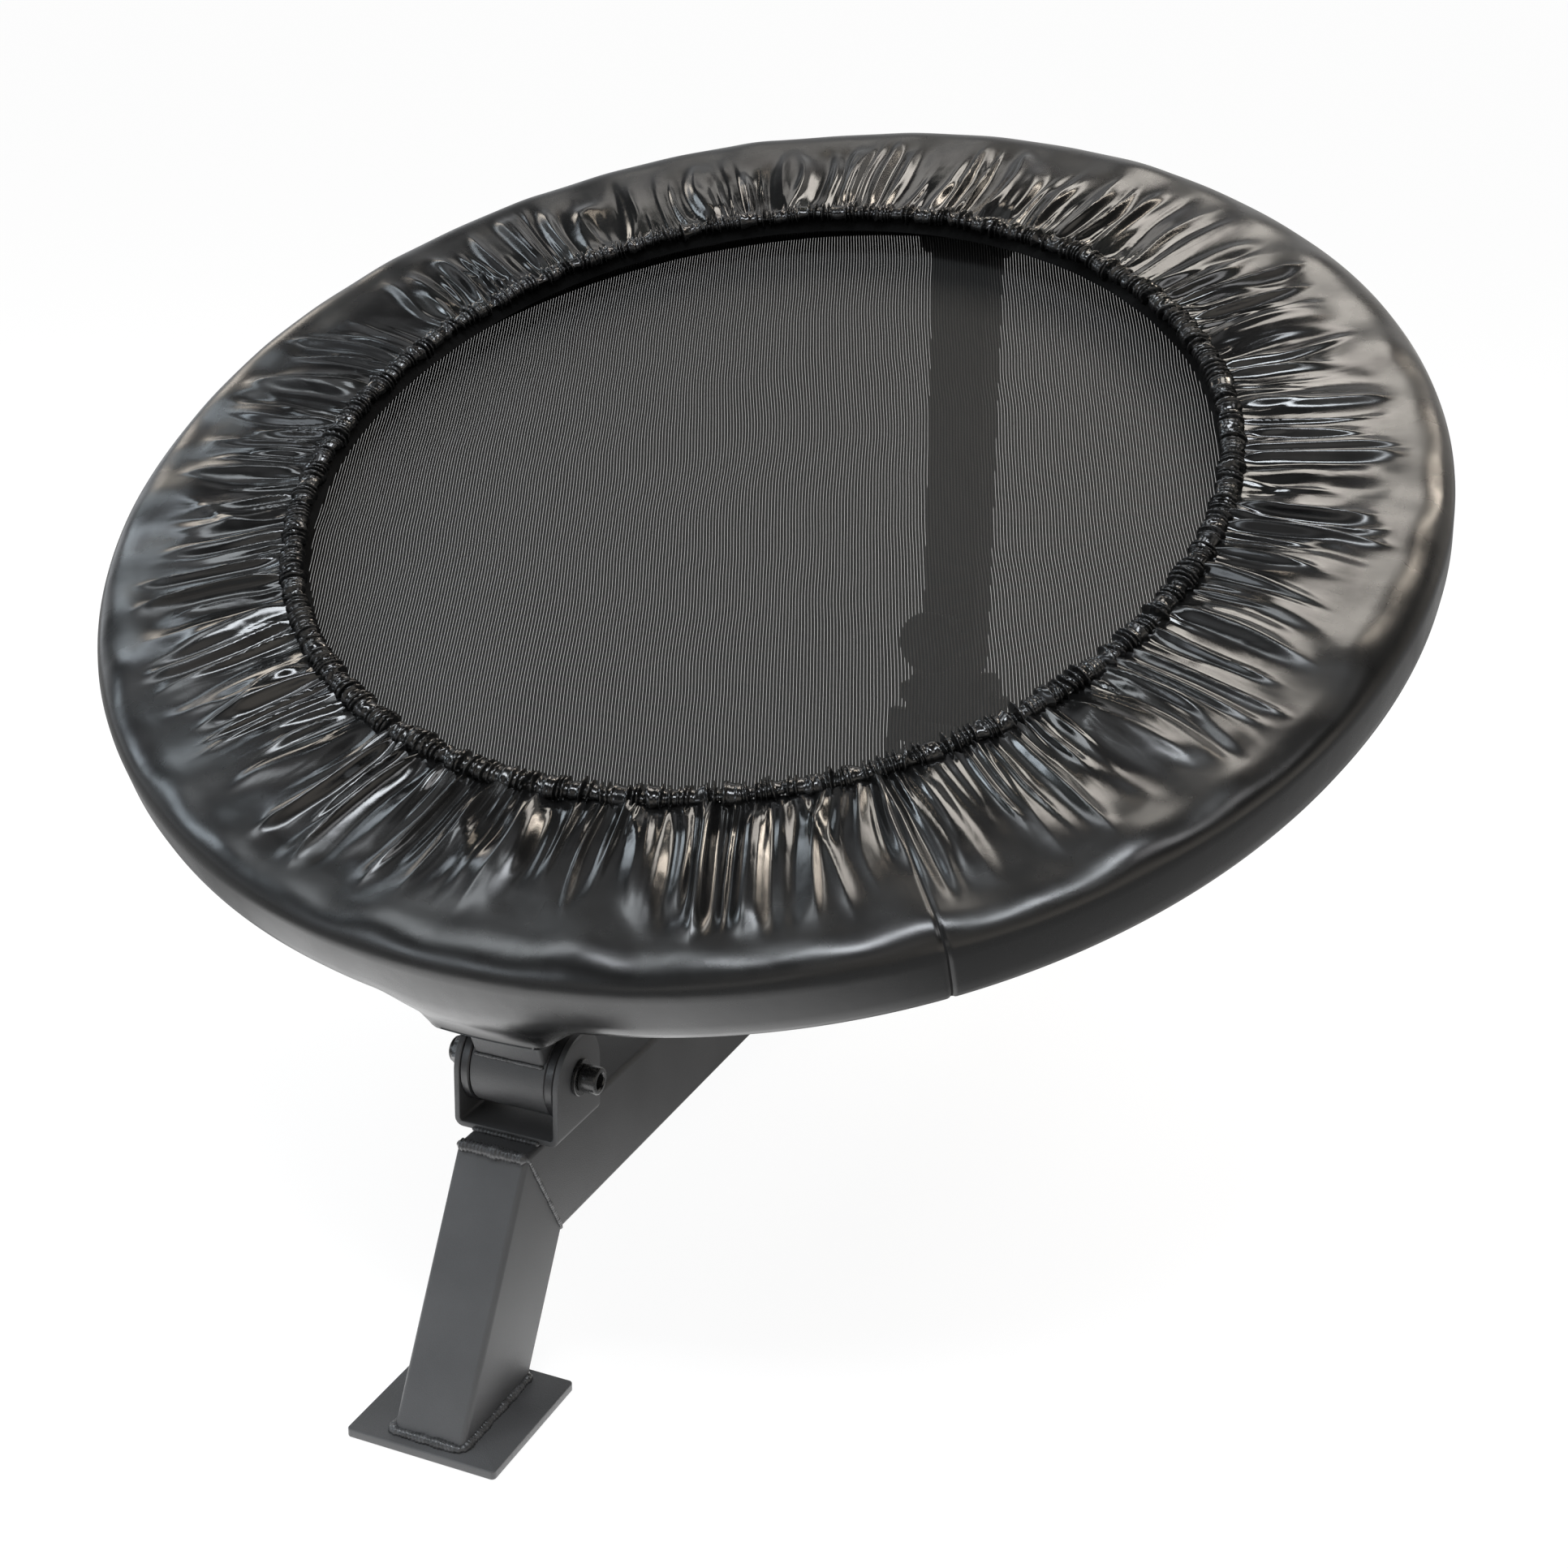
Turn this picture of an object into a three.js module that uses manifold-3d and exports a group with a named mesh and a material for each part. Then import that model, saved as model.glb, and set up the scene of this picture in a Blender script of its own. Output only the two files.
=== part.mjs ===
// Medicine ball rebounder: a sprung disc on a tilting ring, carried by a welded steel frame.
// Millimetres, +Z up, +Y towards the rear, origin under the middle of the foot plate.
import * as THREE from 'three';
import { mergeVertices } from 'three/addons/utils/BufferGeometryUtils.js';
import Module from 'manifold-3d';

const wasm = await Module();
wasm.setup();

// Clearances
const seat = 0.3;
const overrun = 5;
const weld = 1e-4;

// Welded base: foot plate, leaning leg, level spine, rear plate
const plateWidth = 105;
const plateDepth = 103;
const plateThickness = 6;
const plateCorner = 3;
const tubeWidth = 50;
const tubeHeight = 75;
const tubeWall = 3;
const tubeCorner = 4;
const legLean = THREE.MathUtils.degToRad(28.35);
const spineTop = 166.5;
const clevisSetback = 17.1;
const hingeSpacing = 844;
const spineTail = 17;
const rearPlateWidth = 166;
const rearPlateHeight = 78;
const rearPlateThickness = 8;
const rearPlateCorner = 5;
const rearHoleInset = 16;
const rearHoleRadius = 6.5;

// Hinge units: clevis, barrel, flanged bushes, bolt
const hingeRise = 37.8;
const earThickness = 4;
const earRadius = 29;
const clevisBend = 6;
const barrelRadius = 27.5;
const outerSide = 50;
const barrelOver = 1.5;
const barrelLength = outerSide + 2 * barrelOver;
const barrelBore = 16;
const flangeRadius = 28.5;
const flangeThickness = 6.1;
const bushSleeve = 19;
const boltRadius = 6;
const boltGap = 0.3;
const headRadius = 9;
const headHeight = 12;
const headChamfer = 1;
const socketFlats = 10;
const socketDepth = 6;
const washerRadius = 12;
const washerThickness = 2.5;
const nutFlats = 19;
const nutHeight = 10;
const nutCollarRadius = 8.5;
const nutCollarHeight = 3;
const boltTail = 1;

// Telescopic post
const outerWall = 2.5;
const innerSide = 40;
const innerWall = 3;
const postCorner = 3;
const linerLength = 90;
const holePitch = 50;
const holeCount = 5;
const postFootGap = 0.6;
const innerHeadroom = 14;
const pinHeight = 81;

// Locking pin on the post
const pinRadius = 5;
const pinGap = 0.4;
const pinThrow = 10;
const collarRadius = 8;
const collarThickness = 3;
const housingRadius = 13;
const housingBore = 9;
const housingLength = 26;
const housingEnd = 3;
const knobRadius = 30;
const knobLength = 25;
const knobNeckRadius = 14;
const knobStandoff = 0.5;
const knobSocketDepth = 14;
const springWire = 1;
const springTurns = 3;

// Ring of the disc, and where the hinges sit below it
const discTilt = THREE.MathUtils.degToRad(25.88);
const ringRadius = 462;
const ringTube = 15;
const ringWall = 2;
const ringDrop = 6;
const ringSteps = 48;
const copeGap = 0.9;
const ringSleeveLength = 60;
const ringSleeveGap = 2;
const ringSleeveWall = 2;
const frontHingeIn = 13.5;
const frontHingeDrop = 103.1;
const topHingeOut = 16;
const topHingeDrop = 52;
const pivotPlay = 2.6;
const tongueWidth = 50;
const tongueDepth = 30;
const tongueWall = 3;
const topEarWidth = 32;

// Mat, webbing and springs
const springSpan = 82;
const matRadius = ringRadius - springSpan;
const matThickness = 2;
const webbingInside = 14;
const webbingOutside = 8;
const webbingInner = matRadius - webbingInside;
const webbingOuter = matRadius + webbingOutside;
const webbingLayer = 2;
const springCount = 32;
const coilRadius = 6;
const hookRadius = 2;
const hookLength = 9;
const hookBite = 2;

// Foam pad and gathered cover
const rimRadius = 28;
const rimFlat = 7.2;
const coverOverhang = 23.9;
const coverOuter = ringRadius + coverOverhang;
const coverSheet = 1.6;
const foamReach = 112;
const foamInner = ringRadius - foamReach;
const foamFloor = 12;
const foamEdgeHeight = 10;
const foamClearance = 0.8;
const foamHug = 0.6;
const foamLip = 7;
const hemReach = 48;
const hemRadius = ringRadius - hemReach;
const elasticReach = 125;
const elasticRadius = ringRadius - elasticReach;
const elasticHeight = 31;
const channelRadius = 7;
const elasticCord = 2.5;
const elasticCordLift = 0.7;
const gatherHeight = 5;
const gatherCount = 32;
const skirtDrop = 14;
const skirtHalfWidth = 34;
const skirtFade = 40;
const slotGap = 2;

// Colours and finishes read from the photograph
const finish = {
  paint: { color: 0x202226, roughness: 0.5, metalness: 0.35 },
  blackened: { color: 0x141416, roughness: 0.35, metalness: 0.7 },
  nylon: { color: 0x17181a, roughness: 0.6, metalness: 0 },
  zinc: { color: 0x9a9ca0, roughness: 0.35, metalness: 0.9 },
  vinyl: { color: 0x0e0e10, roughness: 0.2, metalness: 0 },
  foam: { color: 0x3a3a3c, roughness: 0.95, metalness: 0 },
  fabric: { color: 0x121213, roughness: 0.85, metalness: 0 },
};

// Closed shapes, ready to be cut and joined
function solid(geometry) {
  geometry.deleteAttribute('normal');
  geometry.deleteAttribute('uv');
  const merged = mergeVertices(geometry, weld);
  return new wasm.Manifold(new wasm.Mesh({
    numProp: 3,
    vertProperties: new Float32Array(merged.attributes.position.array),
    triVerts: new Uint32Array(merged.index.array),
  }));
}

function surface(manifold) {
  const mesh = manifold.getMesh();
  const geometry = new THREE.BufferGeometry();
  geometry.setAttribute('position', new THREE.BufferAttribute(mesh.vertProperties, 3));
  geometry.setIndex(new THREE.BufferAttribute(mesh.triVerts, 1));
  geometry.computeVertexNormals();
  return geometry;
}

function addPiece(group, name, look, geometry) {
  const mesh = new THREE.Mesh(geometry, new THREE.MeshStandardMaterial(finish[look]));
  mesh.name = name;
  group.add(mesh);
  return mesh;
}

// Box by its size and the place of its middle
function block(width, depth, height, x, y, z) {
  return new THREE.BoxGeometry(width, depth, height).translate(x, y, z);
}

// Round bar along X
function rodX(radius, length, sides) {
  return new THREE.CylinderGeometry(radius, radius, length, sides).rotateZ(-Math.PI / 2);
}

// Turned piece about X, from a closed profile of (radius, place along X)
function turnedX(profile, sides) {
  const points = profile.map(([radius, along]) => new THREE.Vector2(radius, along));
  return new THREE.LatheGeometry(points, sides).rotateZ(-Math.PI / 2);
}

// Rectangle with round corners, as a shape or as the path of a hole
function roundedRectangle(path, width, height, radius) {
  const x = width / 2;
  const y = height / 2;
  path.moveTo(x - radius, -y);
  path.absarc(x - radius, radius - y, radius, -Math.PI / 2, 0);
  path.absarc(x - radius, y - radius, radius, 0, Math.PI / 2);
  path.absarc(radius - x, y - radius, radius, Math.PI / 2, Math.PI);
  path.absarc(radius - x, radius - y, radius, Math.PI, Math.PI * 1.5);
  return path;
}

// Square or rectangular hollow section along Z, starting at z = 0
function hollowSection(width, depth, wall, corner, length) {
  const shape = roundedRectangle(new THREE.Shape(), width, depth, corner);
  const inside = [width - 2 * wall, depth - 2 * wall, Math.max(corner - wall, wall / 2)];
  shape.holes.push(roundedRectangle(new THREE.Path(), ...inside));
  return new THREE.ExtrudeGeometry(shape, { depth: length, bevelEnabled: false, curveSegments: 3 });
}

function flatPlate(width, height, thickness, corner) {
  const shape = roundedRectangle(new THREE.Shape(), width, height, corner);
  return new THREE.ExtrudeGeometry(shape, { depth: thickness, bevelEnabled: false, curveSegments: 3 });
}

// Places in the upright plane x = 0
const legRun = (spineTop - plateThickness) * Math.tan(legLean);
const legDepth = tubeHeight / Math.cos(legLean);
const cornerY = legRun - legDepth / 2;
const hinge = new THREE.Vector3(0, cornerY + clevisSetback + earRadius, spineTop + hingeRise);
const rearHinge = new THREE.Vector3(0, hinge.y + hingeSpacing, hinge.z);
const spineEnd = rearHinge.y + earRadius + spineTail;
const clevisInner = barrelLength / 2 + flangeThickness + 2 * seat;
const clevisOuter = clevisInner + earThickness;

// Disc group: local +Y runs up the slope, local +Z is the mat's normal
const disc = new THREE.Group();
disc.rotation.x = discTilt;
const hingeInDisc = new THREE.Vector3(0, frontHingeIn - ringRadius, -ringDrop - frontHingeDrop);
disc.position.copy(hinge).sub(hingeInDisc.clone().applyEuler(disc.rotation));
const topHingeInDisc = new THREE.Vector3(0, ringRadius + topHingeOut, -ringDrop - topHingeDrop);
const topHinge = topHingeInDisc.clone().applyEuler(disc.rotation).add(disc.position);

// Post group: local +Z runs from the rear hinge to the top hinge
const post = new THREE.Group();
const postLength = topHinge.distanceTo(rearHinge);
post.position.copy(rearHinge);
post.rotation.x = Math.atan2(rearHinge.y - topHinge.y, topHinge.z - rearHinge.z);

const rebounder = new THREE.Group();
rebounder.add(disc, post);

// Foot plate, lying flat on the floor
addPiece(rebounder, 'foot_plate', 'paint', flatPlate(plateWidth, plateDepth, plateThickness, plateCorner));

// Leg: hollow section leaning back, cut level at the plate and mitred to the spine
function leg() {
  const length = spineTop / Math.cos(legLean) + 2 * tubeHeight;
  const tube = solid(hollowSection(tubeWidth, tubeHeight, tubeWall, tubeCorner, length)
    .translate(0, 0, -tubeHeight)
    .rotateX(-legLean)
    .translate(0, 0, plateThickness));
  const floor = solid(block(length, length, length, 0, 0, plateThickness + seat - length / 2));
  return tube.subtract(floor).subtract(mitreSide(length, 1));
}

// Half space on the spine's side (1) or the leg's side (-1) of the mitre plane
function mitreSide(size, side) {
  const angle = Math.atan2(legDepth - tubeHeight * Math.tan(legLean), tubeHeight);
  return solid(block(tubeWidth + overrun, size, size, 0, side * (size / 2 - seat / 2), 0)
    .rotateX(angle)
    .translate(0, cornerY, spineTop));
}
addPiece(rebounder, 'front_leg', 'paint', surface(leg()));

// Spine: level hollow section from the mitre to the rear plate
function spine() {
  const length = spineEnd - cornerY + tubeHeight;
  const tube = solid(hollowSection(tubeWidth, tubeHeight, tubeWall, tubeCorner, length)
    .rotateX(Math.PI / 2)
    .translate(0, spineEnd, spineTop - tubeHeight / 2));
  return tube.subtract(mitreSide(2 * length, -1));
}
addPiece(rebounder, 'spine_tube', 'paint', surface(spine()));

// Rear plate with two bolt holes, for the upright of a rig or a wall bracket
function rearPlate() {
  const plate = solid(flatPlate(rearPlateWidth, rearPlateHeight, rearPlateThickness, rearPlateCorner)
    .rotateX(Math.PI / 2)
    .translate(0, spineEnd + seat + rearPlateThickness, spineTop - tubeHeight / 2));
  const through = rearPlateThickness + 2 * overrun;
  const drill = () => new THREE.CylinderGeometry(rearHoleRadius, rearHoleRadius, through, 20);
  const across = rearPlateWidth / 2 - rearHoleInset;
  return [-across, across].reduce((body, x) => body.subtract(solid(drill()
    .translate(x, spineEnd + seat + rearPlateThickness / 2, spineTop - tubeHeight / 2))), plate);
}
addPiece(rebounder, 'rear_plate', 'paint', surface(rearPlate()));

// Clevis folded from strip, ears rounded about the hinge axis, standing on z = -hingeRise
function clevis() {
  const rise = hingeRise - seat;
  const folded = new THREE.Shape();
  folded.moveTo(clevisBend - clevisOuter, -rise);
  folded.absarc(clevisOuter - clevisBend, clevisBend - rise, clevisBend, -Math.PI / 2, 0);
  folded.lineTo(clevisOuter, earRadius);
  folded.lineTo(clevisInner, earRadius);
  const inner = clevisBend - earThickness;
  folded.absarc(clevisInner - inner, earThickness + inner - rise, inner, 0, -Math.PI / 2, true);
  folded.absarc(inner - clevisInner, earThickness + inner - rise, inner, -Math.PI / 2, -Math.PI, true);
  folded.lineTo(-clevisInner, earRadius);
  folded.lineTo(-clevisOuter, earRadius);
  folded.absarc(clevisBend - clevisOuter, clevisBend - rise, clevisBend, -Math.PI, -Math.PI / 2);
  const wide = { depth: 2 * earRadius, bevelEnabled: false, curveSegments: 4 };
  const strip = solid(new THREE.ExtrudeGeometry(folded, wide)
    .rotateX(Math.PI / 2)
    .translate(0, earRadius, 0));
  const side = new THREE.Shape();
  side.moveTo(-earRadius, -hingeRise);
  side.lineTo(earRadius, -hingeRise);
  side.absarc(0, 0, earRadius, 0, Math.PI);
  const boltHole = solid(rodX(boltRadius + boltGap, 2 * clevisOuter + overrun, 20));
  return strip.intersect(alongX(side, 2 * clevisOuter)).subtract(boltHole);
}

// Outline drawn in (Y, Z), extruded along X about the middle
function alongX(shape, width) {
  return solid(new THREE.ExtrudeGeometry(shape, { depth: width, bevelEnabled: false, curveSegments: 10 })
    .translate(0, 0, -width / 2)
    .rotateY(Math.PI / 2)
    .rotateX(Math.PI / 2));
}

// Socket head cap screw along X, head towards +X
function bolt() {
  const head = clevisOuter + washerThickness + 2 * seat;
  const tail = clevisOuter + washerThickness + 2 * seat + nutHeight + nutCollarHeight + boltTail;
  const turned = solid(turnedX([
    [0, -tail], [boltRadius, -tail], [boltRadius, head], [headRadius, head],
    [headRadius, head + headHeight - headChamfer], [headRadius - headChamfer, head + headHeight],
    [0, head + headHeight],
  ], 16));
  const socketRadius = socketFlats / Math.sqrt(3);
  const socket = new THREE.CylinderGeometry(socketRadius, socketRadius, 2 * socketDepth, 6);
  return turned.subtract(solid(socket.rotateZ(Math.PI / 2).translate(head + headHeight, 0, 0)));
}

function washer() {
  return turnedX([
    [boltRadius + boltGap, 0], [washerRadius, 0], [washerRadius, washerThickness],
    [boltRadius + boltGap, washerThickness], [boltRadius + boltGap, 0],
  ], 16);
}

// Locknut: hexagon with a plain round collar
function nut() {
  const hexagon = new THREE.CylinderGeometry(nutFlats / Math.sqrt(3), nutFlats / Math.sqrt(3), nutHeight, 6);
  const collar = new THREE.CylinderGeometry(nutCollarRadius, nutCollarRadius, nutCollarHeight + nutHeight, 16);
  const body = solid(hexagon).add(solid(collar.translate(0, nutCollarHeight / 2, 0)));
  const boreRadius = boltRadius + boltGap;
  const bore = new THREE.CylinderGeometry(boreRadius, boreRadius, 2 * (nutHeight + nutCollarHeight), 16);
  return body.subtract(solid(bore));
}

// Bolt, two washers and nut of one hinge
function fasteners(group, prefix, place) {
  const washerPlace = clevisOuter + seat;
  addPiece(group, `${prefix}_bolt`, 'blackened', surface(bolt())).position.copy(place);
  addPiece(group, `${prefix}_washer_right`, 'blackened', washer().translate(washerPlace, 0, 0)).position.copy(place);
  addPiece(group, `${prefix}_washer_left`, 'blackened',
    washer().translate(-washerPlace - washerThickness, 0, 0)).position.copy(place);
  const nutPlace = washerPlace + washerThickness + seat + nutHeight / 2;
  addPiece(group, `${prefix}_nut`, 'blackened',
    surface(nut()).rotateZ(Math.PI / 2).translate(-nutPlace, 0, 0)).position.copy(place);
}

// Barrel tube that turns between the ears
function barrel() {
  return turnedX([
    [barrelBore, -barrelLength / 2], [barrelRadius, -barrelLength / 2],
    [barrelRadius, barrelLength / 2], [barrelBore, barrelLength / 2], [barrelBore, -barrelLength / 2],
  ], 20);
}

// Flanged bush, flange outwards, with its bore about the bolt
function bush(bore) {
  const sleeve = barrelBore - seat;
  const inner = barrelLength / 2 - bushSleeve;
  const face = barrelLength / 2 + seat;
  const outer = face + flangeThickness;
  return turnedX([
    [bore, inner], [sleeve, inner], [sleeve, face], [flangeRadius, face],
    [flangeRadius, outer], [bore, outer], [bore, inner],
  ], 18);
}

function bushPair(group, prefix, place, bore) {
  addPiece(group, `${prefix}_bush_right`, 'nylon', bush(bore)).position.copy(place);
  addPiece(group, `${prefix}_bush_left`, 'nylon', bush(bore).rotateZ(Math.PI)).position.copy(place);
}

addPiece(rebounder, 'front_clevis', 'paint', surface(clevis())).position.copy(hinge);
fasteners(rebounder, 'front', hinge);
addPiece(rebounder, 'rear_clevis', 'paint', surface(clevis())).position.copy(rearHinge);
fasteners(rebounder, 'rear', rearHinge);

// Inner post: square tube coped onto the lower barrel, drilled through its front wall
const outerFoot = barrelRadius + postFootGap;
const innerTop = postLength - barrelRadius - innerHeadroom;

function crossHoles(body, side, wall, heights) {
  return heights.reduce((rest, z) => rest.subtract(solid(
    new THREE.CylinderGeometry(pinRadius + pinGap, pinRadius + pinGap, 2 * wall + overrun, 10)
      .translate(0, -side / 2, z))), body);
}

function innerPost() {
  const start = barrelRadius / 2;
  const tube = solid(hollowSection(innerSide, innerSide, innerWall, postCorner, innerTop - start).translate(0, 0, start));
  const coped = tube.subtract(solid(rodX(barrelRadius + seat, barrelLength + overrun, 20)));
  const heights = Array.from({ length: holeCount }, (_, i) => pinHeight + i * holePitch);
  return crossHoles(coped, innerSide, innerWall, heights);
}
addPiece(post, 'inner_post', 'paint', surface(innerPost()));
addPiece(post, 'lower_barrel', 'paint', barrel());
bushPair(post, 'lower', new THREE.Vector3(), boltRadius + boltGap);

// Outer post: square tube coped under the upper barrel, with a glide liner in its foot
const upper = new THREE.Vector3(0, 0, postLength);

function outerPost() {
  const length = postLength - outerFoot;
  const tube = solid(hollowSection(outerSide, outerSide, outerWall, postCorner, length).translate(0, 0, outerFoot));
  const coped = tube.subtract(solid(rodX(barrelRadius + seat, barrelLength + overrun, 20).translate(0, 0, postLength)));
  return crossHoles(coped, outerSide, outerWall, [pinHeight]);
}

function liner() {
  const width = outerSide - 2 * (outerWall + seat);
  const wall = (width - innerSide) / 2 - seat;
  const tube = solid(hollowSection(width, width, wall, postCorner - outerWall + wall, linerLength)
    .translate(0, 0, outerFoot + seat));
  return crossHoles(tube, width, wall, [pinHeight]);
}
addPiece(post, 'outer_post', 'paint', surface(outerPost()));
addPiece(post, 'glide_liner', 'nylon', surface(liner()));
addPiece(post, 'upper_barrel', 'paint', barrel()).position.copy(upper);
bushPair(post, 'upper', upper, boltRadius + pivotPlay);

// Locking pin: local +Y of the turned pieces points out of the post's front face
function turnedFront(profile, sides) {
  const points = profile.map(([radius, out]) => new THREE.Vector2(radius, out));
  return new THREE.LatheGeometry(points, sides).rotateZ(Math.PI);
}
const face = outerSide / 2 + seat;
const tip = innerSide / 2 + pinGap;
const housingOut = face + housingLength;
const knobBack = housingOut + knobStandoff + pinThrow;
const pinEnd = knobBack + knobSocketDepth - seat;
const collarBack = face + pinThrow + seat;
const pinPlace = new THREE.Vector3(0, 0, pinHeight);

addPiece(post, 'pin_housing', 'paint', turnedFront([
  [housingBore, face], [housingRadius, face], [housingRadius, housingOut], [pinRadius + pinGap, housingOut],
  [pinRadius + pinGap, housingOut - housingEnd], [housingBore, housingOut - housingEnd], [housingBore, face],
], 20)).position.copy(pinPlace);

addPiece(post, 'locking_pin', 'zinc', turnedFront([
  [0, tip], [pinRadius - pinGap, tip], [pinRadius, tip + pinGap], [pinRadius, collarBack],
  [collarRadius, collarBack], [collarRadius, collarBack + collarThickness],
  [pinRadius, collarBack + collarThickness], [pinRadius, pinEnd], [0, pinEnd],
], 16)).position.copy(pinPlace);

// Mushroom knob with a neck and a crowned face
const crown = knobLength / 5;
addPiece(post, 'pull_knob', 'nylon', turnedFront([
  [pinRadius + seat, knobBack], [knobNeckRadius, knobBack], [knobNeckRadius, knobBack + crown],
  [knobRadius - crown, knobBack + crown], [knobRadius, knobBack + 2 * crown], [knobRadius, knobBack + 3 * crown],
  [knobRadius - crown, knobBack + 4 * crown + crown / 2], [knobRadius / 2, knobBack + knobLength],
  [0, knobBack + knobLength], [0, knobBack + knobSocketDepth], [pinRadius + seat, knobBack + knobSocketDepth],
  [pinRadius + seat, knobBack],
], 20)).position.copy(pinPlace);

// Compression spring between the pin's collar and the housing's end wall
class Helix extends THREE.Curve {
  constructor(radius, start, length, turns) {
    super();
    Object.assign(this, { radius, start, length, turns });
  }

  getPoint(t, target = new THREE.Vector3()) {
    const angle = 2 * Math.PI * this.turns * t;
    return target.set(this.radius * Math.cos(angle), -this.start - this.length * t, this.radius * Math.sin(angle));
  }
}

function roundSection(radius, sides) {
  const turn = (i) => (2 * Math.PI * i) / sides;
  return new THREE.Shape(Array.from({ length: sides }, (_, i) => new THREE.Vector2(
    radius * Math.cos(turn(i)), radius * Math.sin(turn(i)))));
}
const springStart = collarBack + collarThickness + seat + springWire / 2;
const springEnd = housingOut - housingEnd - seat - springWire / 2;
const springRadius = (pinRadius + housingBore) / 2;
addPiece(post, 'pin_spring', 'zinc', new THREE.ExtrudeGeometry(roundSection(springWire / 2, 5), {
  extrudePath: new Helix(springRadius, springStart, springEnd - springStart, springTurns),
  steps: springTurns * 8,
  bevelEnabled: false,
})).position.copy(pinPlace);

// Ring: two half circles of round tube, joined by a sleeve on each side
class Arc extends THREE.Curve {
  constructor(radius, height, start, sweep) {
    super();
    Object.assign(this, { radius, height, start, sweep });
  }

  getPoint(t, target = new THREE.Vector3()) {
    const angle = this.start + this.sweep * t;
    return target.set(this.radius * Math.cos(angle), this.radius * Math.sin(angle), this.height);
  }
}

function tubeSection(radius, wall, sides) {
  const shape = roundSection(radius, sides);
  const turn = (i) => (-2 * Math.PI * i) / sides;
  shape.holes.push(new THREE.Path(Array.from({ length: sides }, (_, i) => new THREE.Vector2(
    (radius - wall) * Math.cos(turn(i)), (radius - wall) * Math.sin(turn(i))))));
  return shape;
}

function arcTube(tube, wall, start, sweep, steps, sides) {
  return new THREE.ExtrudeGeometry(tubeSection(tube, wall, sides), {
    extrudePath: new Arc(ringRadius, -ringDrop, start, sweep), steps, bevelEnabled: false,
  });
}
const ringGap = seat / ringRadius;
addPiece(disc, 'ring_rear_half', 'paint', arcTube(ringTube, ringWall, ringGap / 2, Math.PI - ringGap, ringSteps / 2, 8));
addPiece(disc, 'ring_front_half', 'paint', arcTube(ringTube, ringWall, Math.PI + ringGap / 2, Math.PI - ringGap, ringSteps / 2, 8));
const sleeveSweep = ringSleeveLength / ringRadius;
const sleeveTube = ringTube - ringWall - ringSleeveGap;
[['right', 0], ['left', Math.PI]].forEach(([side, middle]) => addPiece(disc, `ring_sleeve_${side}`, 'paint',
  arcTube(sleeveTube, ringSleeveWall, middle - sleeveSweep / 2, sleeveSweep, 2, 8)));

// Solid ring used to cope what is welded under the ring tube
function ringCutter() {
  const cutter = new THREE.TorusGeometry(ringRadius, ringTube + copeGap, 16, ringSteps);
  return solid(cutter.translate(0, 0, -ringDrop));
}

// Tongue: short rectangular tube from the front barrel up to the ring
function tongue() {
  const length = frontHingeDrop - ringTube / 2;
  const tube = solid(hollowSection(tongueWidth, tongueDepth, tongueWall, tongueWall + seat, length)
    .translate(0, hingeInDisc.y, hingeInDisc.z));
  return tube.subtract(ringCutter()).subtract(solid(rodX(barrelRadius + seat, barrelLength + overrun, 20)
    .translate(0, hingeInDisc.y, hingeInDisc.z)));
}
addPiece(disc, 'front_tongue', 'paint', surface(largest(tongue())));

// The part left under the ring after coping
function largest(manifold) {
  return manifold.decompose().sort((a, b) => b.volume() - a.volume())[0];
}
addPiece(disc, 'front_barrel', 'paint', barrel()).position.copy(hingeInDisc);
bushPair(disc, 'front', hingeInDisc, boltRadius + boltGap);

// Ears welded under the ring at the rear, straddling the upper barrel
function topEar() {
  const outline = new THREE.Shape();
  const top = topHingeDrop - ringTube / 2;
  outline.moveTo(-earRadius, 0);
  outline.absarc(0, 0, earRadius, Math.PI, 2 * Math.PI);
  outline.lineTo(topEarWidth / 2 - topHingeOut, top);
  outline.lineTo(-topEarWidth / 2 - topHingeOut, top);
  return alongX(outline, earThickness)
    .subtract(solid(rodX(boltRadius + boltGap, 2 * earThickness, 20)));
}
[['right', 1], ['left', -1]].forEach(([side, sign]) => {
  const across = sign * (clevisInner + earThickness / 2);
  const ear = solid(surface(topEar()).translate(across, topHingeInDisc.y, topHingeInDisc.z));
  addPiece(disc, `top_ear_${side}`, 'paint', surface(largest(ear.subtract(ringCutter()))));
});
fasteners(disc, 'top', topHingeInDisc);

// Closed ring from a profile that may change with the angle: profile(angle, i) gives [radius, height] pairs,
// anticlockwise, so that the outer side runs upwards
function ringBody(profile, angles) {
  const rows = angles.map((angle, i) => profile(angle, i).map(([radius, height]) => [
    radius * Math.cos(angle), radius * Math.sin(angle), height]));
  const count = rows[0].length;
  const index = [];
  rows.forEach((row, i) => row.forEach((_, j) => {
    const a = i * count + j;
    const b = i * count + ((j + 1) % count);
    const c = ((i + 1) % rows.length) * count + j;
    const d = ((i + 1) % rows.length) * count + ((j + 1) % count);
    index.push(a, c, b, b, c, d);
  }));
  const geometry = new THREE.BufferGeometry();
  geometry.setAttribute('position', new THREE.Float32BufferAttribute(rows.flat(2), 3));
  geometry.setIndex(index);
  return geometry;
}

function evenAngles(count) {
  return Array.from({ length: count }, (_, i) => (2 * Math.PI * i) / count);
}

// Mat of woven mesh, and the doubled webbing that holds its edge
const matRound = new THREE.CylinderGeometry(matRadius, matRadius, matThickness, ringSteps);
addPiece(disc, 'mat', 'fabric', matRound.rotateX(Math.PI / 2));

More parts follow.
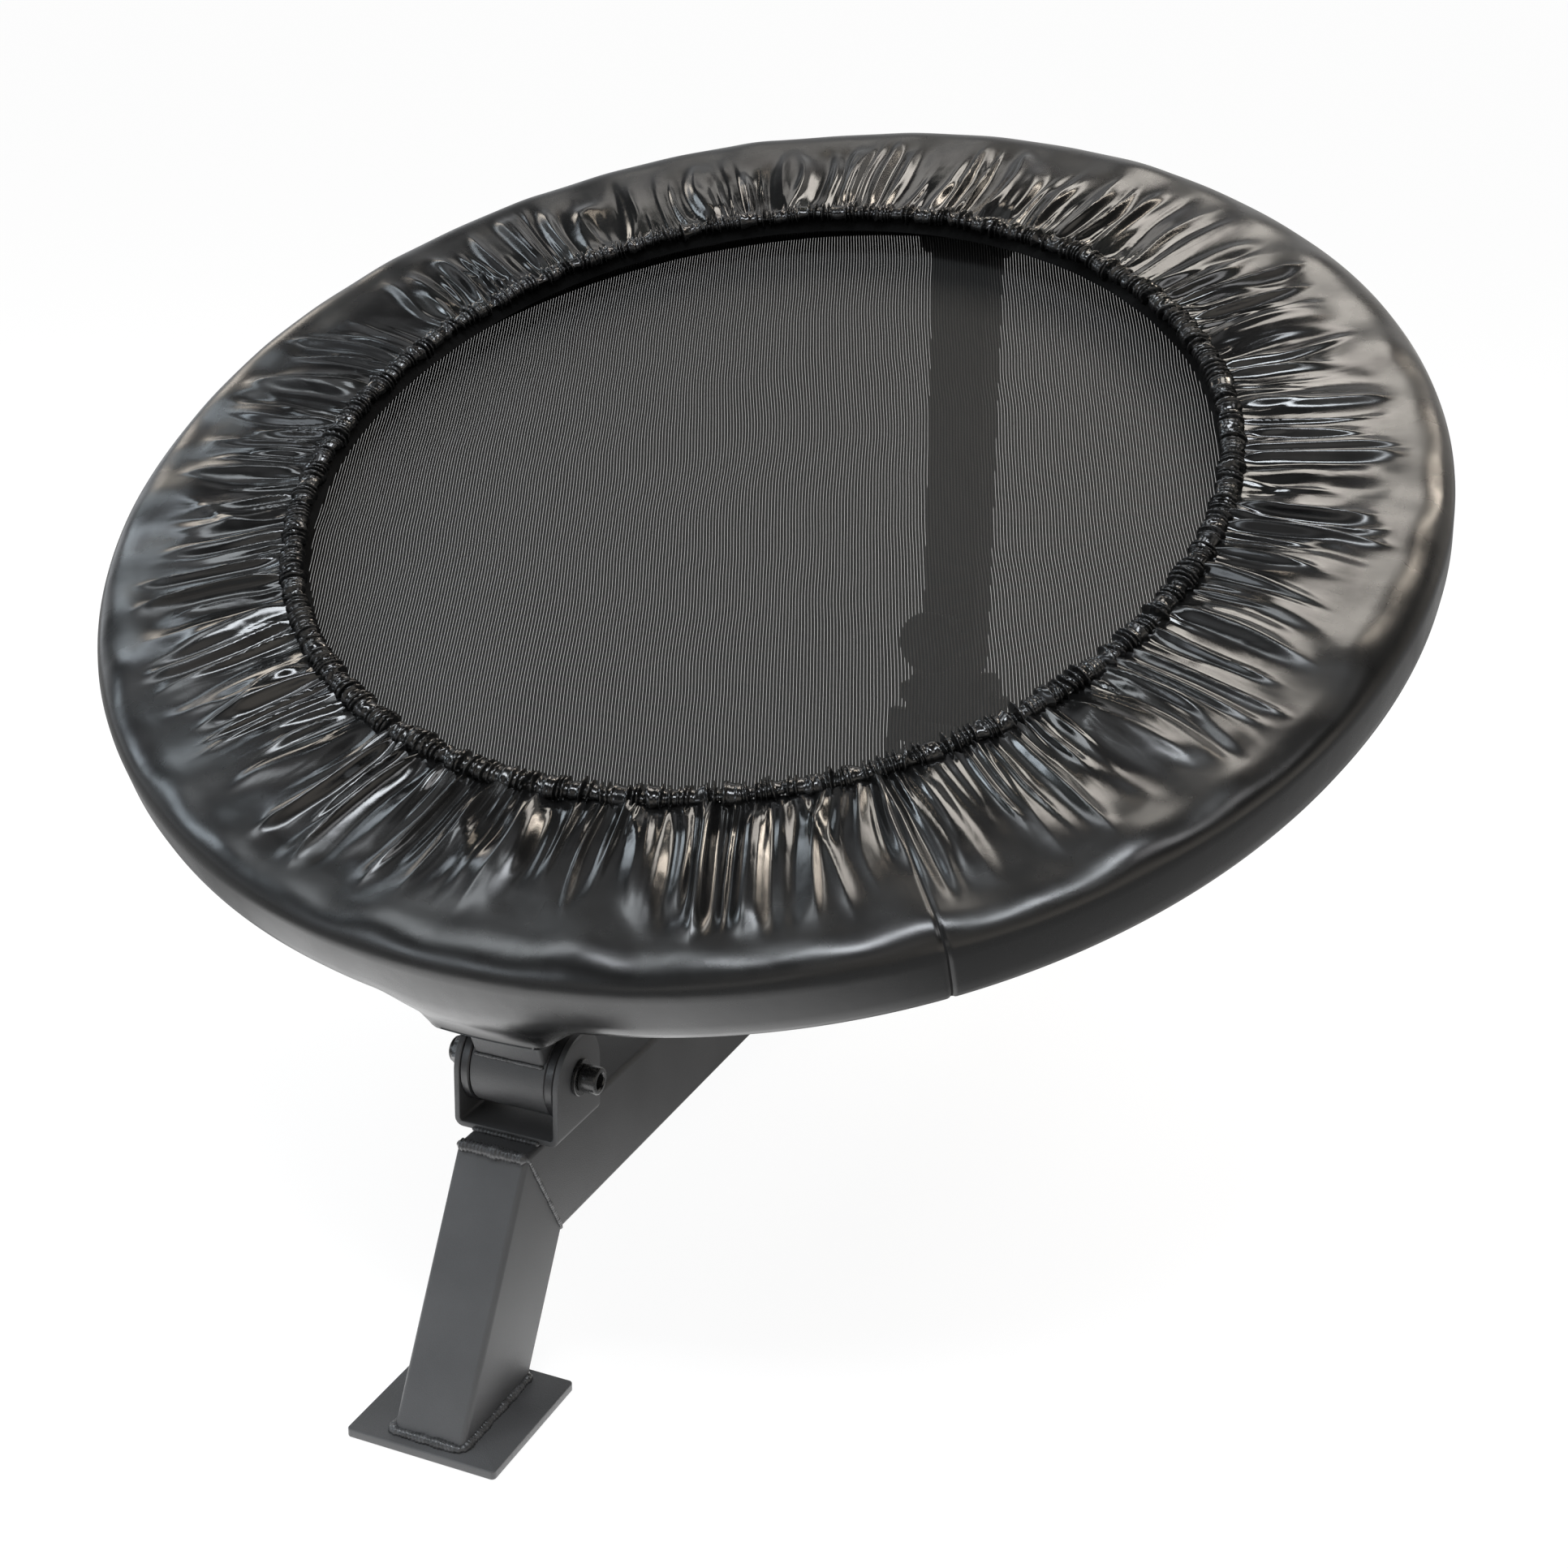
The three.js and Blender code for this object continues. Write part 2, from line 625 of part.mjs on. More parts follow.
function coilSpring(angle) {
  const start = webbingOuter - hookBite;
  const end = (ringRadius - ringTube) * Math.cos(Math.PI / ringSteps) - seat;
  const reach = Math.hypot(end - start, ringDrop);
  const points = [
    [0, 0], [hookRadius, 0], [coilRadius, hookLength],
    [coilRadius, reach - hookLength], [hookRadius, reach], [0, reach],
  ].map(([radius, along]) => new THREE.Vector2(radius, along));
  return solid(new THREE.LatheGeometry(points, 5)
    .rotateZ(-Math.PI / 2)
    .rotateY(Math.asin(ringDrop / reach))
    .translate(start, 0, 0)
    .rotateZ(angle));
}

function webbingWithSprings() {
  const half = matThickness / 2 + seat;
  const top = half + webbingLayer;
  const slot = matRadius + seat;
  const band = solid(ringBody(() => [
    [webbingInner, -top], [webbingOuter, -top], [webbingOuter, top], [webbingInner, top],
    [webbingInner, half], [slot, half], [slot, -half], [webbingInner, -half],
  ], evenAngles(ringSteps)));
  return evenAngles(springCount).reduce((body, angle) => body.add(coilSpring(angle)), band);
}
addPiece(disc, 'webbing_and_springs', 'zinc', surface(webbingWithSprings()));

// Slots through pad and cover for the tongue in front and for the ears at the rear
const rimCentre = coverOuter - rimRadius;
const rimTop = rimRadius + rimFlat;
function bracketSlots() {
  const height = 2 * rimTop;
  const front = [tongueWidth + 2 * slotGap, tongueDepth + 2 * slotGap, height];
  const rear = [2 * (clevisOuter + slotGap), 2 * rimTop, height];
  const tongueSlot = block(...front, 0, hingeInDisc.y, -ringDrop - height / 2);
  const earSlot = block(...rear, 0, topHingeInDisc.y - earRadius - slotGap + rimTop,
    -ringDrop - seat - height / 2);
  return solid(tongueSlot).add(solid(earSlot));
}

// Point of the rolled rim: two round shoulders, above (1) and below (-1) a short upright flat
function rimPoint(radius, degrees, side) {
  const turn = THREE.MathUtils.degToRad(degrees);
  return [rimCentre + radius * Math.cos(turn), radius * Math.sin(turn) + side * rimFlat];
}

// Foam pad: lies on the springs and is rolled over the outer half of the ring tube
function foamPad() {
  const roll = rimRadius - coverSheet - foamClearance;
  const hug = ringTube + foamHug;
  const hugPoint = (degrees) => {
    const turn = THREE.MathUtils.degToRad(degrees);
    const radius = hug / Math.cos(Math.PI / 8);
    return [ringRadius + radius * Math.cos(turn), -ringDrop + radius * Math.sin(turn)];
  };
  const section = [
    [foamInner, foamFloor], [ringRadius, foamFloor],
    ...[45, 0, -45, -90].map(hugPoint),
    rimPoint(roll - foamLip, -60, -1), rimPoint(roll, -45, -1), rimPoint(roll, 0, -1),
    rimPoint(roll, 0, 1), rimPoint(roll, 45, 1), rimPoint(roll, 90, 1),
    [foamInner, foamFloor + foamEdgeHeight],
  ];
  return solid(ringBody(() => section, evenAngles(2 * gatherCount))).subtract(bracketSlots());
}

// Cover: one sheet from the elastic channel over the roll to the hem, gathered towards the elastic
function coverAngles() {
  const even = evenAngles(2 * gatherCount);
  const step = even[1];
  const inFront = (angle) => Math.sin(angle + step / 2) < -Math.cos(2 * step);
  return even.flatMap((angle) => (inFront(angle) ? [angle, angle + step / 2] : [angle]));
}

function coverProfile(angle, i) {
  const across = Math.abs(coverOuter * Math.cos(angle));
  const fade = 1 - THREE.MathUtils.smoothstep(across, skirtHalfWidth, skirtHalfWidth + skirtFade);
  const skirt = Math.sin(angle) < 0 ? fade : 0;
  const fold = gatherHeight * (i % 2 === 0 ? 1 : -1);
  const top = elasticHeight + gatherHeight;
  // In front of the tongue the lower part hangs straight down as a short skirt
  const hang = ([radius, height], reach) => {
    const low = skirt * Math.max(0, -height / rimTop);
    return [THREE.MathUtils.lerp(radius, Math.max(radius, reach), low), height - low * skirtDrop];
  };
  const skirtFace = rimCentre + rimRadius * Math.SQRT1_2;
  const skirtBack = skirtFace - 2 * coverSheet;
  const inside = rimRadius - coverSheet;
  const mouth = elasticRadius - channelRadius;
  return [
    hang([hemRadius, -rimTop], skirtFace - coverSheet),
    ...[-90, -45, 0].map((degrees) => hang(rimPoint(rimRadius, degrees, -1), skirtFace)),
    ...[0, 45, 90].map((degrees) => rimPoint(rimRadius, degrees, 1)),
    [(rimCentre + foamInner) / 2, (rimTop + top + fold) / 2],
    [foamInner, top + fold],
    [mouth + channelRadius / 2, elasticHeight + channelRadius],
    [mouth, elasticHeight],
    [mouth + channelRadius / 2, elasticHeight - channelRadius],
    [foamInner, elasticHeight - coverSheet],
    ...[90, 45, 0].map((degrees) => rimPoint(inside, degrees, 1)),
    ...[0, -45, -90].map((degrees) => hang(rimPoint(inside, degrees, -1), skirtBack)),
    hang([hemRadius, coverSheet - rimTop], skirtBack),
  ];
}
addPiece(disc, 'elastic_cord', 'nylon', new THREE.TorusGeometry(elasticRadius + channelRadius, elasticCord, 5, ringSteps)
  .translate(0, 0, elasticHeight - channelRadius + elasticCordLift));
addPiece(disc, 'foam_pad', 'foam', surface(foamPad()));
addPiece(disc, 'cover', 'vinyl', surface(solid(ringBody(coverProfile, coverAngles())).subtract(bracketSlots())));

export default rebounder;
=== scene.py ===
"""Looks of the medicine ball rebounder: a gathered vinyl ring and a mesh mat on a welded steel frame.

Metres, +Z up, +Y towards the rear. The sections follow the object as it is put together.
"""

import bmesh
import bpy
import numpy as np
from mathutils import Matrix


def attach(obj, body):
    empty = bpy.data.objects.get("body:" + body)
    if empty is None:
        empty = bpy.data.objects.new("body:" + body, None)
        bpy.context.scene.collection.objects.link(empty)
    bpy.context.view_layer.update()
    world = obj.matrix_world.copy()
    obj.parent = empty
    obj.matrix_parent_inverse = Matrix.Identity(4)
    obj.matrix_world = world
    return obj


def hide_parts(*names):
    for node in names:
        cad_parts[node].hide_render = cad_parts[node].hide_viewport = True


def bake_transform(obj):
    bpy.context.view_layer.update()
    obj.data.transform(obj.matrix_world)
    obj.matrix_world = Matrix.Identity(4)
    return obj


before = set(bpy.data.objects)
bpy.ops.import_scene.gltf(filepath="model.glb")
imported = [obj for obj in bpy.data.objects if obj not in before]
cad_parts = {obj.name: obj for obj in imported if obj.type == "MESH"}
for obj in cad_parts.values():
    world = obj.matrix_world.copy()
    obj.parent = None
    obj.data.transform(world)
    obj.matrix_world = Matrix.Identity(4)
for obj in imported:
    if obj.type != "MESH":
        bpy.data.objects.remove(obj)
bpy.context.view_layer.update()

# Camera: stands in front and a little to the right of the foot, looking down at the mat.
# Place and turn come from fitting the object's corners and rims to the photograph.
camera_place, focal_length, sensor_width = (0.6315, -1.0384, 0.8766), 51.765, 36


def put(name, data):
    """New object in the scene, made of the data given."""
    item = bpy.data.objects.new(name, data)
    bpy.context.collection.objects.link(item)
    return item


def stand(item, x, y, z, place):
    """Moves an object to a place and turns its own axes to the directions x, y and z."""
    matrix = np.eye(4)
    matrix[:3] = np.stack([x, y, z, place], axis=1)
    item.matrix_world = Matrix(matrix.tolist())


yaw, pitch, roll = np.radians([22.21, 20.36, 1.71])
forward = np.array([-np.sin(yaw) * np.cos(pitch), np.cos(yaw) * np.cos(pitch), -np.sin(pitch)])
level = np.array([np.cos(yaw), np.sin(yaw), 0])
upright = np.cross(level, forward)
camera = put("camera", bpy.data.cameras.new("camera"))
stand(camera, np.cos(roll) * level + np.sin(roll) * upright, np.cos(roll) * upright - np.sin(roll) * level,
      -forward, camera_place)
camera.data.sensor_width = sensor_width
camera.data.lens = focal_length
bpy.context.scene.camera = camera

# Studio: white room, pale floor, and long soft boxes in an arch from the left over the top to the right.
# The background is white to the camera. Reflections see a room of uneven brightness, cool left and warm right.
bpy.context.scene.view_settings.view_transform = "Standard"
world = bpy.data.worlds.new("white_room")
bpy.context.scene.world = world
world.use_nodes = True
room = world.node_tree


def feed(tree, node, inputs):
    """Gives sockets of a node, by name or number, a value each or the output that is linked to them."""
    for socket, value in inputs.items():
        if isinstance(value, bpy.types.NodeSocket):
            tree.links.new(value, node.inputs[socket])
        else:
            node.inputs[socket].default_value = value


def add_node(tree, kind, inputs, **options):
    """New shader node with its options set and its inputs fed."""
    node = tree.nodes.new("ShaderNode" + kind)
    for option, value in options.items():
        setattr(node, option, value)
    feed(tree, node, inputs)
    return node


def maths(tree, operation, *values):
    """Output of a Math node."""
    return add_node(tree, "Math", dict(enumerate(values)), operation=operation).outputs[0]


def vectors(tree, operation, *values):
    """Output of a Vector Math node: a number where the operation measures, or else a vector."""
    node = add_node(tree, "VectorMath", dict(enumerate(values)), operation=operation)
    return node.outputs["Value" if operation in ("LENGTH", "DISTANCE", "DOT_PRODUCT") else "Vector"]


def stretched(tree, value, start, end, first, last):
    """Map Range: value from start to end becomes first to last in proportion, and stays level beyond."""
    names = ("Value", "From Min", "From Max", "To Min", "To Max")
    return add_node(tree, "MapRange", dict(zip(names, (value, start, end, first, last)))).outputs["Result"]


def mixed(tree, share, first, second):
    """Colour (1 - share) first + share second."""
    return add_node(tree, "Mix", {"Factor": share, "A": first, "B": second}, data_type="RGBA").outputs["Result"]


def noise(tree, where, scale, detail, distortion=0):
    """Grey of a Noise Texture node at the places where."""
    inputs = {"Vector": where, "Scale": scale, "Detail": detail, "Distortion": distortion}
    return add_node(tree, "TexNoise", inputs).outputs["Fac"]


def object_place(tree):
    """Place on the object, in its own axes."""
    return add_node(tree, "TexCoord", {}).outputs["Object"]


rays = add_node(room, "LightPath", {}).outputs
towards = add_node(room, "TexCoord", {}).outputs["Generated"]
aim = add_node(room, "SeparateXYZ", {0: towards}).outputs
tinted = mixed(room, stretched(room, aim["X"], -0.7, 0.7, 0, 1), (0.93, 0.96, 1.0, 1), (1.0, 0.93, 0.84, 1))
room_tone = stretched(room, noise(room, towards, 1.7, 1), 0.42, 0.70, 0.06, 0.95)
low_glow = stretched(room, aim["Z"], 0.40, -0.02, 0, 1.6)
more_at_left = stretched(room, aim["X"], 0.6, -0.4, 0.25, 0.55)
mirrored = maths(room, "ADD", room_tone, maths(room, "MULTIPLY", low_glow, more_at_left))
strength = add_node(room, "Mix", {"Factor": rays["Is Glossy Ray"], "A": 0.55, "B": mirrored}).outputs[0]
seen = maths(room, "MAXIMUM", rays["Is Camera Ray"], rays["Is Transmission Ray"])
feed(room, room.nodes["Background"], {
    "Color": mixed(room, rays["Is Glossy Ray"], (1, 1, 1, 1), tinted),
    "Strength": maths(room, "MAXIMUM", strength, seen),
})

lamp_target, lamp_distance = np.array([0, 0.45, 0.50]), 3


def lamp(name, azimuth, elevation, width, height, power, colour):
    """A soft box 3 m from the middle of the disc, at an azimuth from +X and an elevation, that faces it."""
    light = bpy.data.lights.new(name, "AREA")
    light.shape, light.size, light.size_y, light.energy, light.color = "RECTANGLE", width, height, power, colour
    a, e = np.radians(azimuth), np.radians(elevation)
    back = np.array([np.cos(a) * np.cos(e), np.sin(a) * np.cos(e), np.sin(e)])
    side = np.array([-np.sin(a), np.cos(a), 0])
    stand(put(name, light), side, np.cross(back, side), back, lamp_target + lamp_distance * back)


lamp("cool_strip", 166, 35, 0.30, 1.3, 6.5, (0.82, 0.92, 1.0))
lamp("front_box", -142, 56, 0.8, 1.1, 17, (0.90, 0.96, 1.0))
lamp("rear_sheet", 122, 46, 0.9, 0.5, 2.1, (1.0, 0.96, 0.90))
lamp("pleat_light", -162, 24, 0.5, 0.7, 12, (0.80, 0.91, 1.0))
lamp("top_box", -76, 65, 1.5, 0.55, 58, (0.90, 0.95, 1.0))
lamp("warm_line", 128, 64, 0.08, 0.7, 2.2, (1.0, 0.86, 0.70))
lamp("warm_strip", 52, 50, 0.20, 1.2, 20, (1.0, 0.88, 0.74))
lamp("left_rim", 150, 24, 0.6, 0.5, 4, (1.0, 0.90, 0.78))
lamp("right_sheet", 84, 63, 0.7, 1.3, 23, (1.0, 0.94, 0.86))
lamp("side_fill", -24, 46, 0.9, 0.7, 8.5, (0.98, 0.98, 1.0))
lamp("leg_fill", -118, 14, 1.4, 0.7, 10, (0.84, 0.92, 1.0))


def new_material(name):
    """Material, its node tree and its Principled BSDF."""
    made = bpy.data.materials.new(name)
    made.use_nodes = True
    return made, made.node_tree, made.node_tree.nodes["Principled BSDF"]


# Floor: a plain pale sheet that glows to the camera, clear from below.
# In reflections its glow is painted: bright near the foot, fading to a painted shadow under the disc.
floor_reach, floor_drop = 90, -0.0006
floor_corners = [(x * floor_reach, y * floor_reach, floor_drop) for x, y in ((-1, -1), (1, -1), (1, 1), (-1, 1))]
floor_mesh = bpy.data.meshes.new("floor")
floor_mesh.from_pydata(floor_corners, [], [(0, 1, 2, 3)])
floor = put("floor", floor_mesh)
floor_paint, ground, paint = new_material("floor_paint")
rays = add_node(ground, "LightPath", {}).outputs
looked_at = maths(ground, "MAXIMUM", rays["Is Camera Ray"], rays["Is Glossy Ray"])
# Painted reflection: glossy rays see a glow of 2.8 near this spot, falling to a painted shadow of 0.35 under the
# disc.
off_centre = vectors(ground, "DISTANCE", object_place(ground), (-0.12, -0.12, 0))
painted_glow_and_shadow = stretched(ground, off_centre, 0.22, 0.58, 2.8, 0.35)
gain = stretched(ground, rays["Is Glossy Ray"], 0, 1, 1.06, painted_glow_and_shadow)
feed(ground, paint, {"Base Color": (0.88, 0.88, 0.88, 1), "Roughness": 0.9})
glow = add_node(ground, "Emission", {"Strength": gain}).outputs[0]
glow_share = maths(ground, "MULTIPLY", looked_at, 0.86)
from_above = add_node(ground, "MixShader", {"Fac": glow_share, 1: paint.outputs[0], 2: glow}).outputs[0]
clear = add_node(ground, "BsdfTransparent", {}).outputs[0]
from_below = add_node(ground, "NewGeometry", {}).outputs["Backfacing"]
one_sided = add_node(ground, "MixShader", {"Fac": from_below, 1: from_above, 2: clear}).outputs[0]
feed(ground, ground.nodes["Material Output"], {"Surface": one_sided})
floor_mesh.materials.append(floor_paint)

# Black powder coat on all the welded steel: satin, with a fine sandy grain in its skin.
# The grain group gives a mask for tone and gloss, and the normal of the grain.


def full_turn(steps):
    """Angles of equal steps round a circle, from 0."""
    return np.linspace(0, 2 * np.pi, steps + 1)[:-1]


def joined(*parts):
    """Points whose coordinates are the parts, each of them a number or an array."""
    return np.stack(np.broadcast_arrays(*parts), axis=-1)


def mesh_from_grid(name, points, wrap_rows=False, wrap_columns=False, caps=False, sharp=40):
    """Quads between neighbouring points of a grid, closed round either way, with flat caps on the end rows."""
    rows, columns = points.shape[:2]
    index = np.arange(rows * columns).reshape(rows, columns)
    ends = [index[0].tolist(), index[-1].tolist()] if caps else []
    if wrap_rows:
        index = np.vstack([index, index[:1]])
    if wrap_columns:
        index = np.hstack([index, index[:, :1]])
    quads = np.stack([index[:-1, :-1], index[1:, :-1], index[1:, 1:], index[:-1, 1:]], axis=-1)
    mesh = bpy.data.meshes.new(name)
    mesh.from_pydata(points.reshape(-1, 3).tolist(), [], quads.reshape(-1, 4).tolist() + ends)
    if wrap_columns and (wrap_rows or caps):
        shell = bmesh.new()
        shell.from_mesh(mesh)
        bmesh.ops.remove_doubles(shell, verts=shell.verts, dist=1e-6)
        bmesh.ops.recalc_face_normals(shell, faces=shell.faces)
        shell.to_mesh(mesh)
        shell.free()
    mesh.shade_smooth()
    mesh.set_sharp_from_angle(angle=np.radians(sharp))
    return mesh


def fit(mesh, material, body, slot, *stands_for):
    """Shows a finished mesh on its body, if one is given, in place of the plain nodes it stands for."""
    piece = put(mesh.name, mesh)
    mesh.materials.append(material)
    if body:
        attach(piece, body)
    if stands_for:
        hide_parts(*stands_for)
    return piece


def fit_rings(name, points, material, body, slot, *stands_for, caps=False, sharp=40):
    """Fits the closed skin of a row of rings: the last ring joins the first, or both ends get flat caps."""
    mesh = mesh_from_grid(name, points, wrap_rows=not caps, wrap_columns=True, caps=caps, sharp=sharp)
    return fit(mesh, material, body, slot, *stands_for)


def dress(node, material):
    """Gives a plain node its finish and leaves its shape alone."""
    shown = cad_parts[node]
    if not shown.material_slots:
        shown.data.materials.append(material)
    for held in shown.material_slots:
        held.material = material


def bumped(tree, height, distance, strength, **below):
    """Normal of a Bump node, over the normal of the layer below if one is given."""
    inputs = {"Height": height, "Distance": distance, "Strength": strength, **below}
    return add_node(tree, "Bump", inputs).outputs["Normal"]


grain = bpy.data.node_groups.new("coat_grain", "ShaderNodeTree")
grain.interface.new_socket("Vector", in_out="INPUT", socket_type="NodeSocketVector")
for label in ("Grain Scale", "Depth", "Patch Scale"):
    grain.interface.new_socket(label, in_out="INPUT", socket_type="NodeSocketFloat")
for label, kind in (("Patches", "Float"), ("Specks", "Float"), ("Normal", "Vector")):
    grain.interface.new_socket(label, in_out="OUTPUT", socket_type="NodeSocket" + kind)
entry = grain.nodes.new("NodeGroupInput").outputs
specks = noise(grain, entry["Vector"], entry["Grain Scale"], 3)
feed(grain, grain.nodes.new("NodeGroupOutput"), {
    "Patches": noise(grain, entry["Vector"], entry["Patch Scale"], 5),
    "Specks": specks,
    "Normal": bumped(grain, specks, 0.0006, entry["Depth"]),
})


def grained(tree, where, scale, depth, patch_scale):
    """Outputs of the grain group at the places where."""
    inputs = {"Vector": where, "Grain Scale": scale, "Depth": depth, "Patch Scale": patch_scale}
    return add_node(tree, "Group", inputs, node_tree=grain).outputs


def coated(name, dark, light, gloss, grain_scale, depth, patch_scale=14, metallic=0.0):
    """Principled finish whose tone runs from dark to light with the patches, and gloss with the specks."""
    finish, tree, skin = new_material(name)
    grit = grained(tree, object_place(tree), grain_scale, depth, patch_scale)
    tone = stretched(tree, grit["Patches"], 0.35, 0.65, 0, 1)
    feed(tree, skin, {
        "Base Color": mixed(tree, tone, (*dark, 1), (*light, 1)),
        "Roughness": stretched(tree, grit["Specks"], 0.3, 0.7, *gloss),
        "Normal": grit["Normal"],
        "Metallic": metallic,
    })
    return finish


powder = coated("black_powder_coat", (0.040, 0.040, 0.041), (0.056, 0.056, 0.057), (0.42, 0.60), 1400, 0.35)

# Foot plate: flat square of 6 mm steel with softly broken edges, standing on the floor.
# It is welded all round to the end of the leg.
plate_width, plate_depth, plate_thickness, plate_corner, broken_edge = 0.105, 0.103, 0.006, 0.003, 0.0008


def rounded_outline(width, depth, corner, steps=6):
    """Rectangle with quarter-circle corners, anticlockwise, as rows of (x, y)."""
    turn = np.linspace(0, np.pi / 2, steps + 1)
    quarters = [joined(np.cos(turn + k * np.pi / 2), np.sin(turn + k * np.pi / 2)) for k in range(4)]
    middles = np.array([(1, 1), (-1, 1), (-1, -1), (1, -1)]) * (width / 2 - corner, depth / 2 - corner)
    return np.concatenate([corner * quarter + middle for quarter, middle in zip(quarters, middles)])


def square_to(along):
    """Unit directions 90 degrees clockwise of flat steps (x, y): (y, -x) / length."""
    return joined(along[:, 1], -along[:, 0]) / np.linalg.norm(along, axis=1)[:, None]


def slab(outline, low, high, edge, steps=4):
    """Flat plate over a convex outline: its rings step in by a quarter circle at the two broken edges."""
    outwards = square_to(np.roll(outline, -1, axis=0) - np.roll(outline, 1, axis=0))
    turn = np.linspace(0, np.pi / 2, steps + 1)
    inset = np.concatenate([edge * (1 - np.sin(turn)), edge * (1 - np.cos(turn))])
    height = np.concatenate([low + edge * (1 - np.cos(turn)), high - edge * (1 - np.sin(turn))])
    rings = outline - inset[:, None, None] * outwards
    return joined(rings[..., 0], rings[..., 1], height[:, None])


foot = slab(rounded_outline(plate_width, plate_depth, plate_corner), 0, plate_thickness, broken_edge)
fit_rings("foot_plate_steel", foot, powder, "base", "black_paint", "foot_plate", caps=True)

# Leg and spine: 50 x 75 mm rectangular tube, the leg leaning back and mitred to the level spine.
# The tube has rolled corners; its ends are cut where the plate and the mitre meet it.
tube_width, tube_height, tube_wall, tube_corner, inner_corner = 0.050, 0.075, 0.003, 0.004, 0.0015
leg_lean, tube_sharp = np.radians(28.35), 35
spine_top, spine_end, foot_gap, seam_half = 0.1665, 0.980091, 0.0003, 0.00015
leg_run = (spine_top - plate_thickness) * np.tan(leg_lean)
leg_depth = tube_height / np.cos(leg_lean)
mitre = np.array([0, leg_run - leg_depth / 2, spine_top])
mitre_angle = np.arctan2(leg_depth - tube_height * np.tan(leg_lean), tube_height)
mitre_normal = np.array([0, np.cos(mitre_angle), np.sin(mitre_angle)])


def cut_tube(origin, over, along, first, last):
    """Hollow box tube: each outline point runs along the tube from the plane first to the plane last, out and in.

    A plane is (point, normal), and the length at which a line meets it is (point - start).normal / along.normal.
    """
    outside = rounded_outline(tube_width, tube_height, tube_corner)
    inside = rounded_outline(tube_width - 2 * tube_wall, tube_height - 2 * tube_wall, inner_corner)
    rings = []
    for shape, planes in ((outside, (first, last)), (inside, (last, first))):
        start = origin + shape[:, :1] * np.array([1.0, 0, 0]) + shape[:, 1:] * over
        for point, normal in planes:
            length = (point - start) @ normal / (along @ normal)
            rings.append(start + length[:, None] * along)
    return np.stack(rings)


upwards, rearwards = np.array([0, 0, 1.0]), np.array([0, 1.0, 0])
leg_up = np.array([0, np.sin(leg_lean), np.cos(leg_lean)])
leg_over = np.array([0, np.cos(leg_lean), -np.sin(leg_lean)])
leg_rings = cut_tube(plate_thickness * upwards, leg_over, leg_up, ((plate_thickness + foot_gap) * upwards, upwards),
                     (mitre - seam_half * mitre_normal, mitre_normal))
fit_rings("leg_tube", leg_rings, powder, "base", "black_paint", "front_leg", sharp=tube_sharp)
spine_rings = cut_tube((spine_top - tube_height / 2) * upwards, upwards, rearwards,
                       (mitre + seam_half * mitre_normal, mitre_normal), (spine_end * rearwards, rearwards))
fit_rings("spine_box_tube", spine_rings, powder, "base", "black_paint", "spine_tube", sharp=tube_sharp)
dress("rear_plate", powder)

# Hinge clevises: 4 mm strip folded to a U with fully rounded ears, welded on top of the spine.
# A clevis is a rounded bar section carried along the U, whose width follows the ear's circle.
hinge = np.array([0, 0.090091, 0.2043])
rear_hinge = np.array([0, 0.934091, 0.2043])
clevis_spots = (("front", hinge), ("rear", rear_hinge))
hinge_rise, ear_thickness, ear_radius, clevis_inner = 0.0378, 0.004, 0.029, 0.0332
clevis_outer = clevis_inner + ear_thickness
fold_radius, floor_half, lift = 0.004, 0.012, 0.0003


def clevis(place):
    """U strip: the middle line runs down one ear, round two bends and up the other; width is 2 sqrt(r2 - z2)."""
    middle = clevis_inner + ear_thickness / 2
    base = -hinge_rise + lift + ear_thickness / 2
    cap = np.linspace(np.pi / 2, 0, 19)
    turn = np.linspace(0, np.pi / 2, 7)[1:-1]
    down = joined(-middle, ear_radius * np.sin(cap))
    corner = joined(-middle + fold_radius * (1 - np.cos(turn)), base + fold_radius * (1 - np.sin(turn)))
    half = np.concatenate([down, [(-middle, base + fold_radius)], corner,
                           [(-middle + fold_radius, base), (-floor_half, base)]])
    line = np.concatenate([half, half[::-1] * (-1, 1)])
    outwards = square_to(np.gradient(line, axis=0))
    width = np.sqrt(np.maximum(ear_radius**2 - np.maximum(line[:, 1:], 0) ** 2, 1e-9))
    section = rounded_outline(2 * ear_radius, ear_thickness, broken_edge, 4) / (ear_radius, 1)
    return place + joined(line[:, :1] + outwards[:, :1] * section[:, 1], width * section[:, 0],
                          line[:, 1:] + outwards[:, 1:] * section[:, 1])


for spot, place in clevis_spots:
    fit_rings(f"{spot}_folded_clevis", clevis(place), powder, "base", "black_paint", f"{spot}_clevis", caps=True,
              sharp=50)

# Weld beads: laid by hand and painted over, each a rippled half-round rope along its joint.
# A bead runs round the foot, over the mitre, under the clevises and along the tongue's foot.
bead_ripple, bead_step = 0.0026, 0.0007


def wire_round(line, radius, sides, off_axis):
    """Rings round a line: line + radius (cos t side + sin t over), where side is square to it and to off_axis."""
    along = np.gradient(line, axis=0)
    along /= np.linalg.norm(along, axis=1)[:, None]
    side = np.cross(along, off_axis)
    side /= np.linalg.norm(side, axis=1)[:, None]
    over = np.cross(along, side)
    turn = full_turn(sides)
    return line[:, None] + radius * (np.cos(turn)[:, None] * side[:, None] + np.sin(turn)[:, None] * over[:, None])


